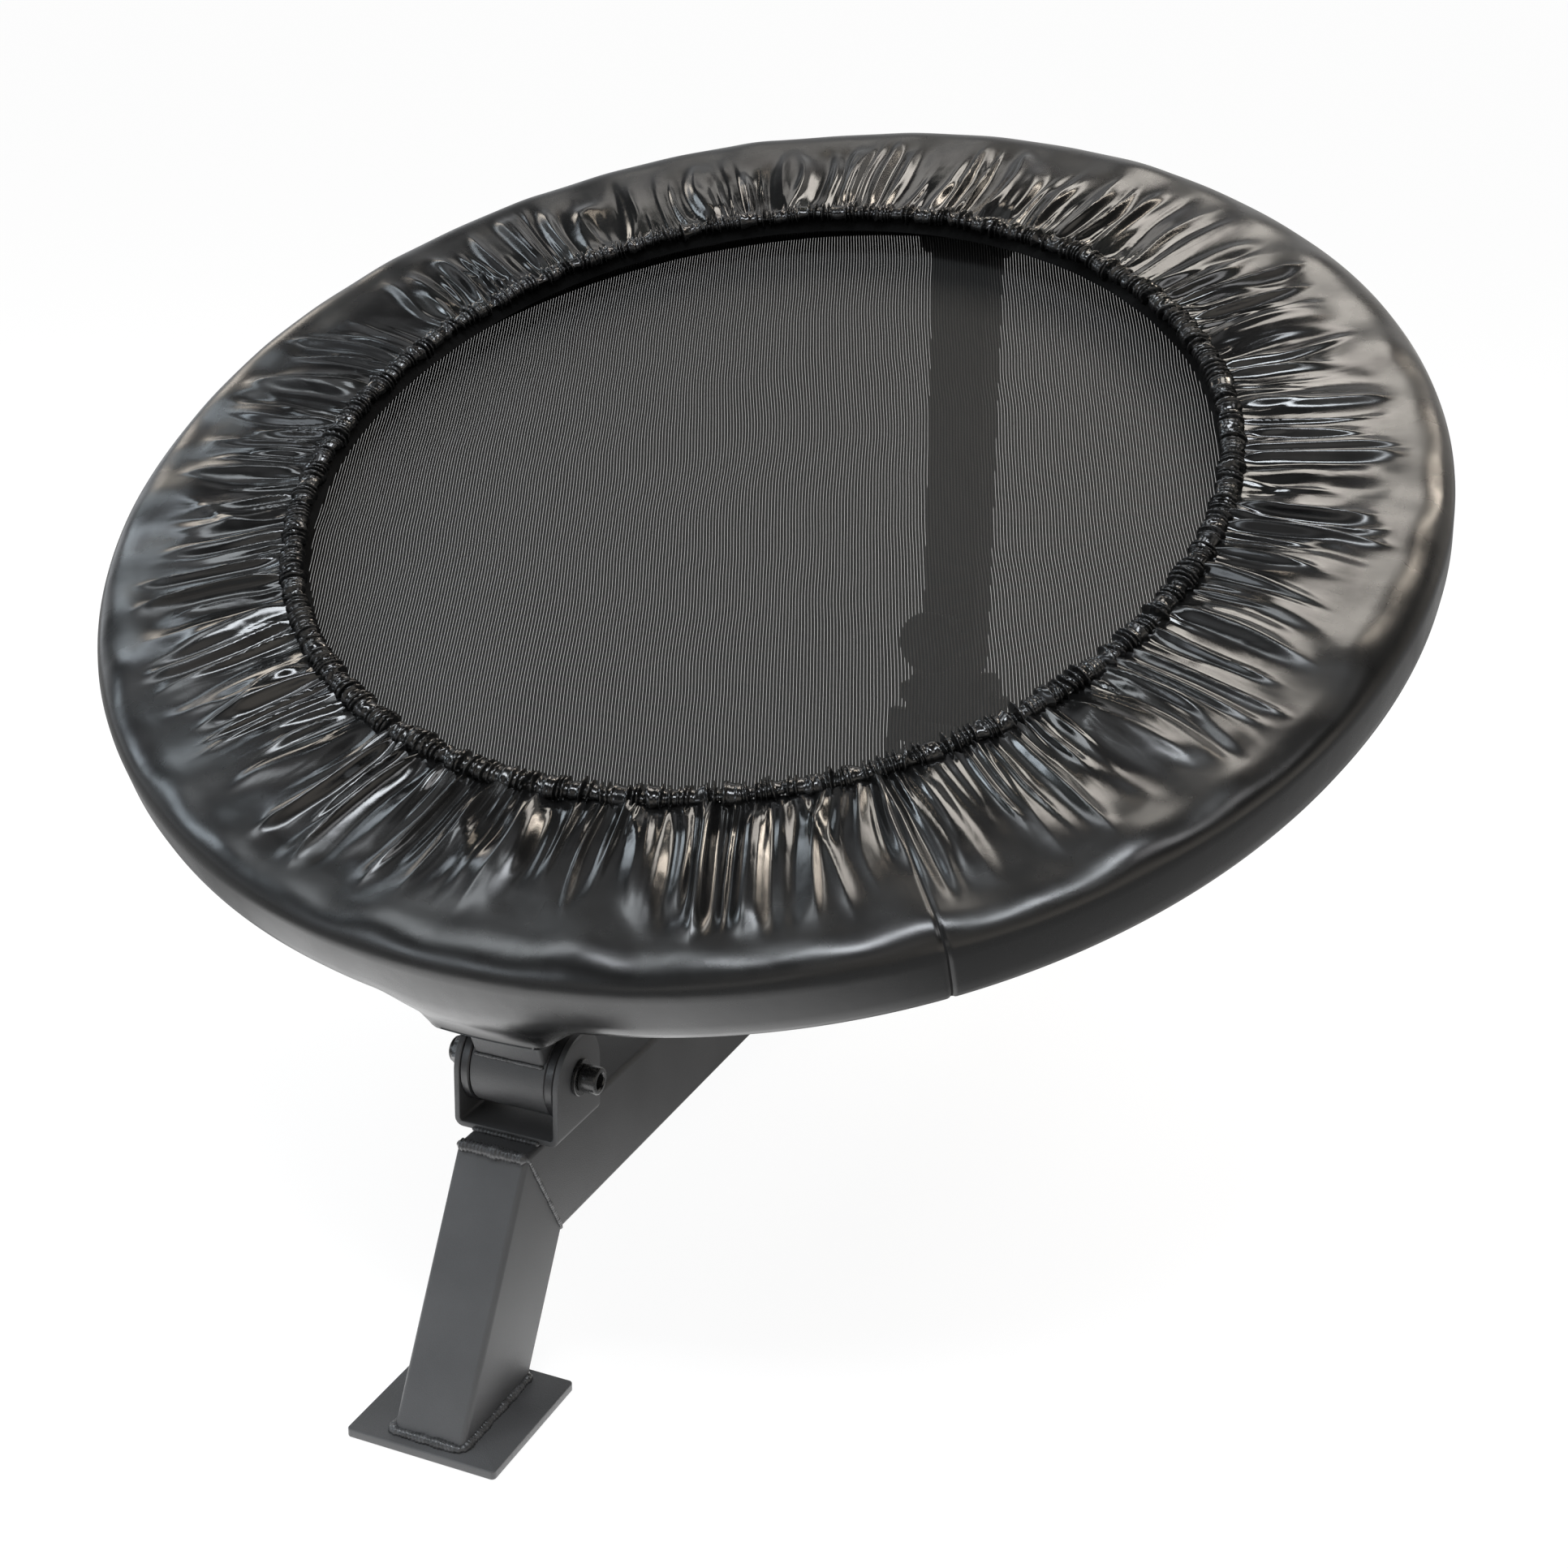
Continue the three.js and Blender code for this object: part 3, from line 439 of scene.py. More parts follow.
def bead(name, path, radius, body, seed, closed=False):
    """Rope along a path: radius varies by a ripple each 2.6 mm and by slow noise made of three sine waves."""
    steps = np.linalg.norm(np.diff(path, axis=0), axis=1)
    run = np.concatenate([[0], np.cumsum(steps)])
    wanted = np.linspace(0, run[-1], max(int(run[-1] / bead_step), 8))
    line = joined(*(np.interp(wanted, run, path[:, k]) for k in range(3)))
    phase = np.random.default_rng(seed).uniform(0, 2 * np.pi, 3)
    slow = sum(np.sin(2 * np.pi * wanted / pitch + shift) for pitch, shift in zip((0.011, 0.019, 0.037), phase)) / 3
    rope = radius * (1 + 0.10 * np.cos(2 * np.pi * wanted / bead_ripple) + 0.24 * slow)
    if not closed:
        rope = rope * np.clip(np.minimum(wanted, run[-1] - wanted) / radius + 0.35, 0, 1)
    points = wire_round(line, rope[:, None, None], 10, (0.31, 0.52, 0.79))
    fit_rings(name, points, weld_paint, body, "black_paint", caps=True, sharp=180)


def line_across(half, steps, y, z):
    """Straight line along X from -half to half."""
    return joined(np.linspace(-half, half, steps), y, z)


weld_paint = coated("painted_weld", (0.022, 0.022, 0.022), (0.050, 0.050, 0.052), (0.22, 0.46), 420, 0.5, 160)
foot_ring = leg_rings[0] + (0, 0, 0.0006)
bead("foot_weld", np.vstack([foot_ring, foot_ring[:1]]), 0.0034, "base", 3, closed=True)
mitre_ring = leg_rings[1]
order = np.argsort(np.arctan2(mitre_ring[:, 0], mitre[2] - mitre_ring[:, 2]))
bead("mitre_weld", mitre_ring[order], 0.0016, "base", 4)
bead("leg_top_weld", line_across(0.0245, 30, mitre[1] - 0.0006, spine_top - 0.0012), 0.0042, "base", 5)
for spot, place in clevis_spots:
    for end, sign in (("near", -1), ("far", 1)):
        toe = line_across(0.024, 24, place[1] + sign * (ear_radius + 0.0004), spine_top + 0.0008)
        bead(f"{spot}_clevis_{end}_weld", toe, 0.0020, "base", 6 + sign)

# Barrels and flanged bushes: turned steel tubes between the ears, with black nylon bushes pressed in.
# Each is a closed profile turned about the hinge axis, with small rounded edges.
barrel_radius, barrel_half, barrel_bore, barrel_ease = 0.0275, 0.0265, 0.016, 0.0006
flange_radius, flange_thickness, flange_ease, bush_sleeve = 0.0285, 0.0061, 0.0008, 0.019
bolt_radius, bolt_gap, wide_gap, seat = 0.006, 0.0003, 0.0026, 0.0003
both_sides = (("right", 1), ("left", -1))
nylon = coated("black_nylon", (0.014, 0.014, 0.015), (0.020, 0.020, 0.021), (0.30, 0.48), 700, 0.12)
round_turn = full_turn(72)
hexagon = 1 / np.cos((round_turn % (np.pi / 3)) - np.pi / 6)


def turned_x(rings, place, side=1):
    """Rings about the hinge axis, each (radius, place along X): (side a, r cos t, r sin t), with side 1 or -1.

    A third number makes that share of the ring's shape a hexagon, whose flats are at the radius.
    """
    rows = []
    for radius, along, *share in rings:
        reach = radius * (1 + sum(share) * (hexagon - 1))
        rows.append(joined(side * along, reach * np.cos(round_turn), reach * np.sin(round_turn)))
    return np.stack(rows) + place


def eased(bore, radius, low, high, ease):
    """Profile of a thick tube from low to high with its outer edges broken."""
    return [(bore, low), (radius - ease, low), (radius, low + ease), (radius, high - ease), (radius - ease, high),
            (bore, high)]


def bush_profile(bore):
    """Sleeve inside the barrel and a flange against its end."""
    face, sleeve = barrel_half + seat, barrel_bore - seat
    outer = face + flange_thickness
    flange = eased(sleeve, flange_radius, face, outer, flange_ease)[:-1]
    return [(bore, barrel_half - bush_sleeve), (sleeve, barrel_half - bush_sleeve), *flange, (bore, outer)]


# The disc and the post lean with axes of their own, and their places are turned into the row frame.
disc_tilt, post_lean = np.radians(25.88), np.radians(4.15563)
disc_centre = np.array([0, 0.445990, 0.498223])
ring_radius, ring_tube, ring_drop = 0.462, 0.015, 0.006


def leant(points, origin, lean):
    """Turns places (x, y, z) by the angle lean about X and moves them to the origin given."""
    x, y, z = np.moveaxis(np.asarray(points), -1, 0)
    return joined(x, origin[1] + y * np.cos(lean) - z * np.sin(lean), origin[2] + y * np.sin(lean) + z * np.cos(lean))


def on_disc(points):
    """Disc places (x, up the slope, along the mat's normal) in the row frame."""
    return leant(points, disc_centre, disc_tilt)


def on_post(points):
    """Post places (x, back, up the post) in the row frame."""
    return leant(points, rear_hinge, post_lean)


post_length = 0.451568
top_hinge = on_post((0, 0, post_length))
for spot, place, body, gap in (("front", hinge, "disc", bolt_gap), ("lower", rear_hinge, "inner_post", bolt_gap),
                               ("upper", top_hinge, "outer_post", wide_gap)):
    tube = eased(barrel_bore, barrel_radius, -barrel_half, barrel_half, barrel_ease)
    fit_rings(f"{spot}_barrel_tube", turned_x(tube, place), powder, body, "black_paint", f"{spot}_barrel")
    for side, sign in both_sides:
        fit_rings(f"{spot}_{side}_flanged_bush", turned_x(bush_profile(bolt_radius + gap), place, sign), nylon, body,
                  "nylon", f"{spot}_bush_{side}")

# Fasteners: black oxide M12 socket screws with plain washers, and locknuts on the far side.
# Every ring of a screw or nut is a circle or a hexagon about the hinge axis.
oxide = coated("black_oxide", (0.010, 0.010, 0.010), (0.018, 0.018, 0.018), (0.16, 0.34), 900, 0.06, 60)
washer_radius, washer_thickness, fine_ease = 0.012, 0.0025, 0.0004
nut_flats, nut_height, nut_ease, collar_height, thread_past = 0.019, 0.010, 0.0012, 0.003, 0.001
head_radius, head_height, head_ease, socket_radius, socket_depth = 0.009, 0.012, 0.0011, 0.005, 0.006


def fasteners(spot, place, body):
    """Screw, two washers and locknut of one hinge, head to the right."""
    face = clevis_outer + seat
    seat_face = face + washer_thickness + seat
    tip = seat_face + nut_height + collar_height + thread_past
    top = seat_face + head_height
    screw = [(0, -tip), (0.0052, -tip), (bolt_radius, -tip + 0.0009), (bolt_radius, seat_face),
             (head_radius - fine_ease, seat_face), (head_radius, seat_face + 0.0005), (head_radius, top - head_ease),
             (head_radius - fine_ease, top - fine_ease), (head_radius - head_ease, top), (0.0061, top),
             (0.0057, top - 0.0005), (socket_radius, top - 0.0009, 1), (socket_radius, top - socket_depth, 1),
             (0, top - 0.0075)]
    fit_rings(f"{spot}_socket_screw", turned_x(screw, place), oxide, body, "fastener", f"{spot}_bolt", caps=True,
              sharp=34)
    washer = eased(bolt_radius + bolt_gap, washer_radius, face, face + washer_thickness, fine_ease)
    for side, sign in both_sides:
        fit_rings(f"{spot}_{side}_plain_washer", turned_x(washer, place, sign), oxide, body, "fastener",
                  f"{spot}_washer_{side}")
    flat, end = nut_flats / 2, seat_face + nut_height
    nut = [(0.0063, seat_face), (flat, seat_face), (flat, seat_face + nut_ease, 1), (flat, end - nut_ease, 1),
           (flat, end), (0.0085, end), (0.0085, end + 0.002), (0.0075, end + collar_height),
           (0.0063, end + collar_height)]
    fit_rings(f"{spot}_locknut", turned_x(nut, place, -1), oxide, body, "fastener", f"{spot}_nut", sharp=34)


fasteners("front", hinge, "base")
fasteners("rear", rear_hinge, "base")
fasteners("top", top_hinge, "disc")

# Telescopic post: 50 mm square tube sliding over a drilled 40 mm one, each coped onto its barrel.
# The inner tube and its row of holes show when the disc is raised.
outer_side, outer_wall, post_corner, outer_foot = 0.050, 0.0025, 0.003, 0.0281
dress("inner_post", powder)
dress("glide_liner", nylon)


def open_tube(outside, inside, centre, low, high):
    """Rings of a tube along Z, outside up and inside down, whose ends follow low and high at the outline's places."""
    return np.stack([joined(shape[:, 0], shape[:, 1] + centre, end(shape))
                     for shape, end in ((outside, low), (outside, high), (inside, high), (inside, low))])


def barrel_rise(shape):
    """Height of a barrel's skin over its axis: sqrt(r2 - y2)."""
    return np.sqrt((barrel_radius + seat) ** 2 - shape[:, 1] ** 2)


post_rings = open_tube(rounded_outline(outer_side, outer_side, post_corner, 5),
                       rounded_outline(outer_side - 2 * outer_wall, outer_side - 2 * outer_wall, 0.0012, 5),
                       0, lambda shape: outer_foot, lambda shape: post_length - barrel_rise(shape))
fit_rings("outer_square_tube", on_post(post_rings), powder, "outer_post", "black_paint", "outer_post",
          sharp=tube_sharp)
saddle_y = np.linspace(-0.025, 0.025, 26)
for side, sign in both_sides:
    arch = joined(sign * 0.0249, saddle_y, post_length - np.sqrt(0.0280**2 - saddle_y**2))
    bead(f"post_top_{side}_weld", on_post(arch), 0.0017, "outer_post", 12 + sign)

# Pull pin: zinc plated pin in a welded housing low on the post's front, with a black mushroom knob.
# The pin slides along the post's front normal and drops into the inner tube's holes.
pin_height, face_out, housing_radius, housing_length, housing_bore = 0.081, 0.0253, 0.013, 0.026, 0.009
pin_bore, pin_radius, guide_depth, knob_gap, pin_travel = 0.0054, 0.0053, 0.003, 0.0005, 0.010
zinc = coated("zinc_plate", (0.42, 0.43, 0.45), (0.60, 0.61, 0.62), (0.25, 0.42), 900, 0.1, 90, metallic=1.0)
dress("locking_pin", zinc)
dress("pin_spring", zinc)


def turned_front(profile, turn):
    """Profile of (radius, distance out of the post's front) turned about the pin's axis by the angles turn."""
    radius, out = np.array(profile).T[:, :, None]
    return on_post(joined(radius * np.cos(turn), -out, pin_height + radius * np.sin(turn)))


housing_out = face_out + housing_length
housing = [(housing_bore, face_out), (housing_radius, face_out), (housing_radius, housing_out - 0.001),
           (housing_radius - 0.001, housing_out), (pin_bore, housing_out), (pin_bore, housing_out - guide_depth),
           (housing_bore, housing_out - guide_depth)]
housing_rings = turned_front(housing, full_turn(64))
fit_rings("pin_housing_tube", housing_rings, powder, "outer_post", "black_paint", "pin_housing")
collar = turned_front([(0.0134, face_out - 0.0002)], np.linspace(0, 2 * np.pi, 60))[0]
bead("pin_housing_weld", collar, 0.0016, "outer_post", 21, closed=True)
knob_back = housing_out + knob_gap + pin_travel
bulge = np.linspace(-0.35, 1.0, 22) * np.pi / 2
knob_face = [(0.0205 + 0.0095 * np.cos(a), knob_back + 0.0115 + 0.0075 * np.sin(a)) for a in bulge]
dome = [(0.0205 * (1 - k), knob_back + 0.019 + 0.006 * (1 - (1 - k) ** 2)) for k in np.linspace(0.08, 1, 10)]
knob = [(0, knob_back + 0.014), (pin_radius, knob_back + 0.014), (pin_radius, knob_back), (0.0125, knob_back),
        (0.014, knob_back + 0.0015), (0.0135, knob_back + 0.005), (0.017, knob_back + 0.0068), *knob_face, *dome]
fit_rings("mushroom_knob", turned_front(knob, full_turn(64)), nylon, "pull_pin", "nylon", "pull_knob", caps=True)

# Disc ring: 30 mm round tube bent to a circle in two halves, joined on a sleeve at each side.
# The halves meet at a fine line; the tongue in front and the ears behind are welded under it.
half_gap = 0.0003
dress("ring_sleeve_right", powder)
dress("ring_sleeve_left", powder)


def swept(radius, height, turn):
    """Grid about the disc's axis, (r cos t, r sin t, height), with a row to each angle."""
    return on_disc(joined(radius * np.cos(turn)[:, None], radius * np.sin(turn)[:, None], height))


for half, start in (("rear", 0.0), ("front", np.pi)):
    sweep = start + half_gap + np.linspace(0, np.pi - 2 * half_gap, 97)
    turn = full_turn(24)
    loop = swept(ring_radius + ring_tube * np.cos(turn), ring_tube * np.sin(turn) - ring_drop, sweep)
    fit_rings(f"{half}_half_ring", loop, powder, "disc", "black_paint", f"ring_{half}_half", caps=True)

front_pivot = np.array([0, 0.0135 - ring_radius, -ring_drop - 0.1031])
top_pivot = np.array([0, ring_radius + 0.016, -ring_drop - 0.052])
tongue_width, tongue_depth, tongue_wall, tongue_corner = 0.050, 0.030, 0.003, 0.0033
weld_gap, tongue_top = 0.0007, -0.0135


def tongue_crest(shape):
    """Head of the tongue under the ring: -drop - sqrt(r2 - d2), with d the distance off the ring's middle line."""
    off = np.hypot(shape[:, 0], shape[:, 1] + front_pivot[1]) - ring_radius
    under = -ring_drop - np.sqrt(np.maximum((ring_tube + weld_gap) ** 2 - off**2, 0))
    return np.minimum(under, tongue_top)


tongue = open_tube(rounded_outline(tongue_width, tongue_depth, tongue_corner, 5),
                   rounded_outline(tongue_width - 2 * tongue_wall, tongue_depth - 2 * tongue_wall, 0.0008, 5),
                   front_pivot[1], lambda shape: front_pivot[2] + barrel_rise(shape), tongue_crest)
fit_rings("tongue_tube", on_disc(tongue), powder, "disc", "black_paint", "front_tongue", sharp=tube_sharp)
foot_height = front_pivot[2] + np.sqrt(0.0279**2 - 0.0152**2)
for end, sign in (("near", -1), ("far", 1)):
    foot_line = line_across(0.0245, 30, front_pivot[1] + sign * 0.0153, foot_height)
    bead(f"tongue_{end}_weld", on_disc(foot_line), 0.0015, "disc", 31 + sign)


def ear(sign):
    """Plate ear: half round about the hinge, with straight flanks narrowing up to the ring."""
    turn = np.linspace(np.pi, 2 * np.pi, 33)
    rim = joined(ear_radius * np.cos(turn), ear_radius * np.sin(turn))
    top, off = 0.052 - ring_tube / 2 - 0.0085, -0.016
    right = np.linspace(rim[-1], (0.016 + off, top), 8)[1:]
    left = np.linspace((-0.016 + off, top), rim[0], 8)[:-1]
    y, z, x = np.moveaxis(slab(np.concatenate([rim, right, left]), -ear_thickness / 2, ear_thickness / 2, 0.0006, 3),
                          -1, 0)
    return on_disc(joined(x + sign * (clevis_inner + ear_thickness / 2), y + top_pivot[1], z + top_pivot[2]))


for side, sign in both_sides:
    fit_rings(f"{side}_ring_ear", ear(sign), powder, "disc", "black_paint", f"top_ear_{side}", caps=True)

# Mat: one round of open polypropylene mesh, pulled flat by the springs.
# Black warp tapes run up the slope 2.2 mm apart, with fine weft across them and daylight between.
mat_radius, mat_sag = 0.380, 0.0008
thread_pitch, weft_pitch, thread_turn = 0.00223, 0.0014, np.radians(20)


def weave_material():
    """Open weave: the slit mask is 1 in the warp's gaps, wider where the weft leaves a gap, worked out on Object
    places.

    Places turned by the threads' angle drift a little, and a gap is where cos(2 pi place / pitch) is near 1.
    """
    cloth, tree, skin = new_material("open_mesh")
    where = object_place(tree)
    place = add_node(tree, "SeparateXYZ", {0: where}).outputs
    wander = maths(tree, "MULTIPLY", maths(tree, "SUBTRACT", noise(tree, where, 5, 2), 0.5), 0.012)
    slope = maths(tree, "DIVIDE", place["Y"], np.cos(disc_tilt))
    cos, sin = np.cos(thread_turn), np.sin(thread_turn)
    aside = maths(tree, "MULTIPLY_ADD", slope, sin, maths(tree, "MULTIPLY", place["X"], cos))
    along = maths(tree, "MULTIPLY_ADD", slope, cos, maths(tree, "MULTIPLY", place["X"], -sin))
    warp = maths(tree, "MULTIPLY", maths(tree, "ADD", aside, wander), 2 * np.pi / thread_pitch)
    warp_gap = maths(tree, "COSINE", warp)
    weft_gap = maths(tree, "COSINE", maths(tree, "MULTIPLY", along, 2 * np.pi / weft_pitch))
    slit = maths(tree, "GREATER_THAN", maths(tree, "MULTIPLY_ADD", weft_gap, 0.006, warp_gap), 0.983)
    height = maths(tree, "MULTIPLY_ADD", weft_gap, 0.12, maths(tree, "MULTIPLY", warp_gap, -1.0))
    shade = stretched(tree, warp_gap, -1, 1, 0, 1)
    feed(tree, skin, {
        "Base Color": mixed(tree, shade, (0.004, 0.004, 0.004, 1), (0.014, 0.014, 0.0136, 1)),
        "Alpha": maths(tree, "SUBTRACT", 1.0, slit),
        "Normal": bumped(tree, height, 0.0004, 0.25),
        "Roughness": 0.55,
        "Specular IOR Level": 0.18,
    })
    return cloth


mesh_cloth = weave_material()
turn = full_turn(144)
share = np.concatenate([[0.0], np.linspace(0.03, 1, 24)])
spread = share[:, None] * mat_radius
sag = -mat_sag * np.cos(spread / mat_radius * np.pi / 2)
round_mat = on_disc(joined(spread * np.cos(turn), spread * np.sin(turn), sag))
mat = fit(mesh_from_grid("mesh_mat", round_mat, wrap_columns=True), mesh_cloth, "mat", "mat_mesh", "mat")

# Edge webbing and springs: a doubled band sewn round the mat, hooked by coil springs to the ring.
# The band is a flat closed loop, and each spring is a close-wound coil with a straight hook at each end.
webbing_inner, webbing_outer, webbing_half, webbing_bead = 0.366, 0.388, 0.0022, 0.0030
spring_count, spring_inner, spring_outer, spring_turns = 32, 0.385, 0.4455, 15
coil_radius, wire_radius, hook_share = 0.0052, 0.0009, 0.12
webbing_cloth = coated("black_webbing", (0.006, 0.006, 0.006), (0.012, 0.012, 0.012), (0.7, 0.85), 1100, 0.6)
turn = full_turn(288)
pull = 0.0012 * np.cos(turn * spring_count)[:, None]
band = np.array([(webbing_inner, -webbing_half), (webbing_outer, -webbing_bead), (webbing_outer + 0.0012, 0),
                 (webbing_outer, webbing_bead), (webbing_inner, webbing_half), (webbing_inner - 0.0004, 0)])
webbing = fit_rings("edge_webbing", swept(band[:, 0] + pull, band[:, 1], turn), webbing_cloth, "mat", "webbing",
                    "webbing_and_springs", sharp=50)


def coil_spring(angle):
    """Wire tube along a helix between two hooks: radius 5.2 mm over the coil, easing to 0 at both hooks."""
    along = np.linspace(0, 1, spring_turns * 10 + 1)
    swell = coil_radius * np.clip(np.minimum(along, 1 - along) / hook_share, 0, 1)
    place = spring_inner + (spring_outer - spring_inner) * along
    whirl = 2 * np.pi * spring_turns * along
    line = joined(place, swell * np.cos(whirl), -ring_drop * along + swell * np.sin(whirl))
    x, y, z = np.moveaxis(wire_round(line, wire_radius, 5, (1.0, 0.02, 0.03)), -1, 0)
    return on_disc(joined(x * np.cos(angle) - y * np.sin(angle), x * np.sin(angle) + y * np.cos(angle), z))


for k in range(spring_count):
    aim = 2 * np.pi * k / spring_count
    spring = fit_rings(f"spring_{k + 1:02d}", coil_spring(aim), zinc, None, "zinc", "webbing_and_springs", caps=True)
    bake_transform(spring)

# Foam pad: grey closed-cell foam rolled over the ring tube under the cover.
# Its rounded section is carried round the disc; only its underside shows, from below.
foam_grey = coated("grey_foam", (0.055, 0.055, 0.058), (0.085, 0.085, 0.088), (0.85, 0.95), 260, 0.8)
rim_radius, rim_flat, cover_outer = 0.028, 0.0072, 0.4859
rim_centre, rim_top = cover_outer - rim_radius, rim_radius + rim_flat
foam_bore, foam_side, foam_over, foam_inner, foam_under = 0.0158, 0.0240, 0.0180, 0.352, 0.0125
slot_inner, slot_ease = 0.027, 0.004


def arc(x, z, wide, tall, start, end, steps):
    """Points (x + wide cos t, z + tall sin t), with t from start to end in degrees."""
    t = np.radians(np.linspace(start, end, steps))
    return joined(x + wide * np.cos(t), z + tall * np.sin(t))


# The section is flat over the springs, hollow round the ring tube, and has two round shoulders outside.
radius, height = np.concatenate([
    [(foam_inner, foam_under), (0.458, foam_under)],
    arc(ring_radius, -ring_drop, foam_bore, foam_bore, 50, -90, 12),
    arc(rim_centre, -rim_flat, foam_side, foam_side, -62, 0, 10),
    arc(rim_centre, rim_flat, foam_side, foam_over, 0, 90, 12),
    [(0.40, 0.022), (foam_inner, 0.018)],
]).T
turn = full_turn(192)
slot_share = np.clip((np.abs(cover_outer * np.cos(turn)) - slot_inner) / slot_ease, 0, 1)
front_slot = np.where(np.sin(turn) < 0, slot_share, 1)[:, None]
pad = fit_rings("foam_ring_pad", swept(radius, np.where(height < 0, height * front_slot, height), turn), foam_grey,
                "disc", "foam", "foam_pad", sharp=60)

# Cover: glossy black vinyl sheet, drawn in by an elastic round the well and rolled down over the pad.
# The sheet gathers into dense sharp folds at the elastic, which merge and die out before the smooth rim.
# It is cut from one strip, and the strip's ends meet in a sewn seam a little to the right of the front.
fold_source = np.random.default_rng(11)
elastic_radius, elastic_height, hem_radius = 0.337, 0.031, 0.414
around, inside_rows, gather_count, tallest_fold = 2400, 22, 64, 0.0080
seam_angle = np.radians(-55.0)
angle = full_turn(around)
reach = np.linspace(0, 1, inside_rows)
sheet_start = elastic_radius + 0.0055
sheet_radius = sheet_start + (rim_centre - sheet_start) * reach


def ramp(value, low, high):
    """Smooth step from 0 at low to 1 at high."""
    t = np.clip((value - low) / (high - low), 0, 1)
    return t * t * (3 - 2 * t)


def apart(first, second):
    """Difference of two angles, from -pi to pi."""
    return (first - second + np.pi) % (2 * np.pi) - np.pi


def slow_waves(source, where):
    """Function of whole periods round the ring: the sum of their sine waves, of random phase and spread about 1."""
    return lambda *periods: (sum(np.sin(where * p + source.uniform(0, 2 * np.pi)) for p in periods)
                             / np.sqrt(len(periods) / 2))[:, None]


fold_wave = slow_waves(fold_source, angle)
lean = 1.5 * fold_wave(3, 7, 13)
bow = 0.8 * fold_wave(5, 17, 29)
shared_phase = gather_count * angle[:, None] + 1.1 * fold_wave(7, 15, 26)
shared_phase = shared_phase + lean * reach + bow * np.sin(np.pi * reach)


def gathers(level, height, start, end, fine=0.3):
    """Pinched ridges side by side: 1 - |sin(phase / 2)|^0.85, with 64 x 2^level of them round the ring.

    A level's ridges lie on those of the level below and halfway between, so folds join in pairs going outwards.
    They rise after start and fade out near end, both shares of the way from the elastic to the rim.
    """
    phase = 2**level * shared_phase + fine * fold_wave(11, 19, 31)
    phase = phase + 0.7 * fold_wave(17, 28, 45) * np.sin(phase)
    count = gather_count * 2**level
    tall = np.clip(0.75 + 0.55 * fold_wave(int(count * 0.31), int(count * 0.17)), 0.05, 1.6)
    last = end + 0.14 * fold_wave(int(count * 0.27), int(count * 0.47), 9)
    fade = 1 - ramp(reach, last - 0.30, last)
    grow = ramp(reach, start - 0.06, start + 0.12)
    return height * tall * fade * grow * (1 - (np.sin(phase / 2) ** 2 + 0.007) ** 0.425 - 0.36)


def lone_folds(count, height, width, spread, ends, slant, sharp):
    """Single ridges among the gathers: each is exp(-|d/w|^sharp) across, and fades out at its own end."""
    total = np.zeros((around, inside_rows))
    for k in range(count):
        middle = 2 * np.pi * (k + fold_source.uniform(-0.45, 0.45)) / count
        line = middle + fold_source.normal(0, slant) * reach \
            + fold_source.normal(0, slant / 3) * np.sin(np.pi * reach * fold_source.uniform(0.8, 2.2))
        away = apart(angle[:, None], line)
        w = width * fold_source.uniform(0.7, 1.4) * (1 + spread * reach)
        end = fold_source.uniform(*ends)
        rise = height * fold_source.uniform(0.45, 1.25) * (1 - ramp(reach, end - 0.55, end))
        total = total + rise * np.exp(-np.abs(away * sheet_radius / w) ** sharp)
    return total


def rim_shape():
    """(radius, height) of the upper shoulder for each place round the ring: nearly flat on top, tight lower down.

    The radius of curvature is a + b exp(-slope / 0.3), summed from slope 0 to upright; a and b shrink at the front
    right. The height keeps the outline that the camera sees: (350.05 - 0.692 r) / 0.7218 mm where the slope is 0.765.
    """
    tight = np.exp(-(apart(angle, -np.radians(42)) / 0.45) ** 2)[:, None]
    vary = fold_wave(6, 9, 13)
    slope = np.pi / 2 * np.linspace(0, 1, 61)[None] ** 1.5
    middle_slope = (slope[:, 1:] + slope[:, :-1]) / 2
    least, more = 0.014 - 0.001 * tight + 0.0006 * vary, 0.062 - 0.014 * tight + 0.004 * vary
    step = (least + more * np.exp(-middle_slope / 0.3)) * np.diff(slope)
    start = np.zeros((around, 1))
    out = np.concatenate([start, np.cumsum(step * np.cos(middle_slope), axis=1)], axis=1)
    down = np.concatenate([start, np.cumsum(step * np.sin(middle_slope), axis=1)], axis=1)
    radius = cover_outer - out[:, -1:] + out
    seen_at = int(np.argmin(np.abs(slope[0] - 0.765)))
    top = ((0.35005 - 0.692 * radius[:, seen_at]) / 0.7218 + down[:, seen_at])[:, None]
    keep = slice(6, 61, 6)
    return radius[:, :1], top, radius[:, keep], top - down[:, keep], np.sin(slope[:, keep])


def seam_share(width):
    """1 on the sewn seam and 0 away from it, as a bell of the given half width in metres."""
    return np.exp(-(apart(angle, seam_angle) * 0.42 / width) ** 2)[:, None]


def hang_skirt(sheet):
    """In front of the tongue the low part hangs straight down as a short skirt, 14 mm below the hem elsewhere."""
    near = 1 - ramp(np.abs(cover_outer * np.cos(angle)), 0.034, 0.074)
    low = np.where(np.sin(angle) < 0, near, 0)[:, None] * np.clip(-sheet[..., 1] / rim_top, 0, 1)
    face = rim_centre + rim_radius * np.sqrt(0.5)
    radius = sheet[..., 0] + (np.maximum(sheet[..., 0], face) - sheet[..., 0]) * low
    return joined(radius, sheet[..., 1] - 0.014 * low)


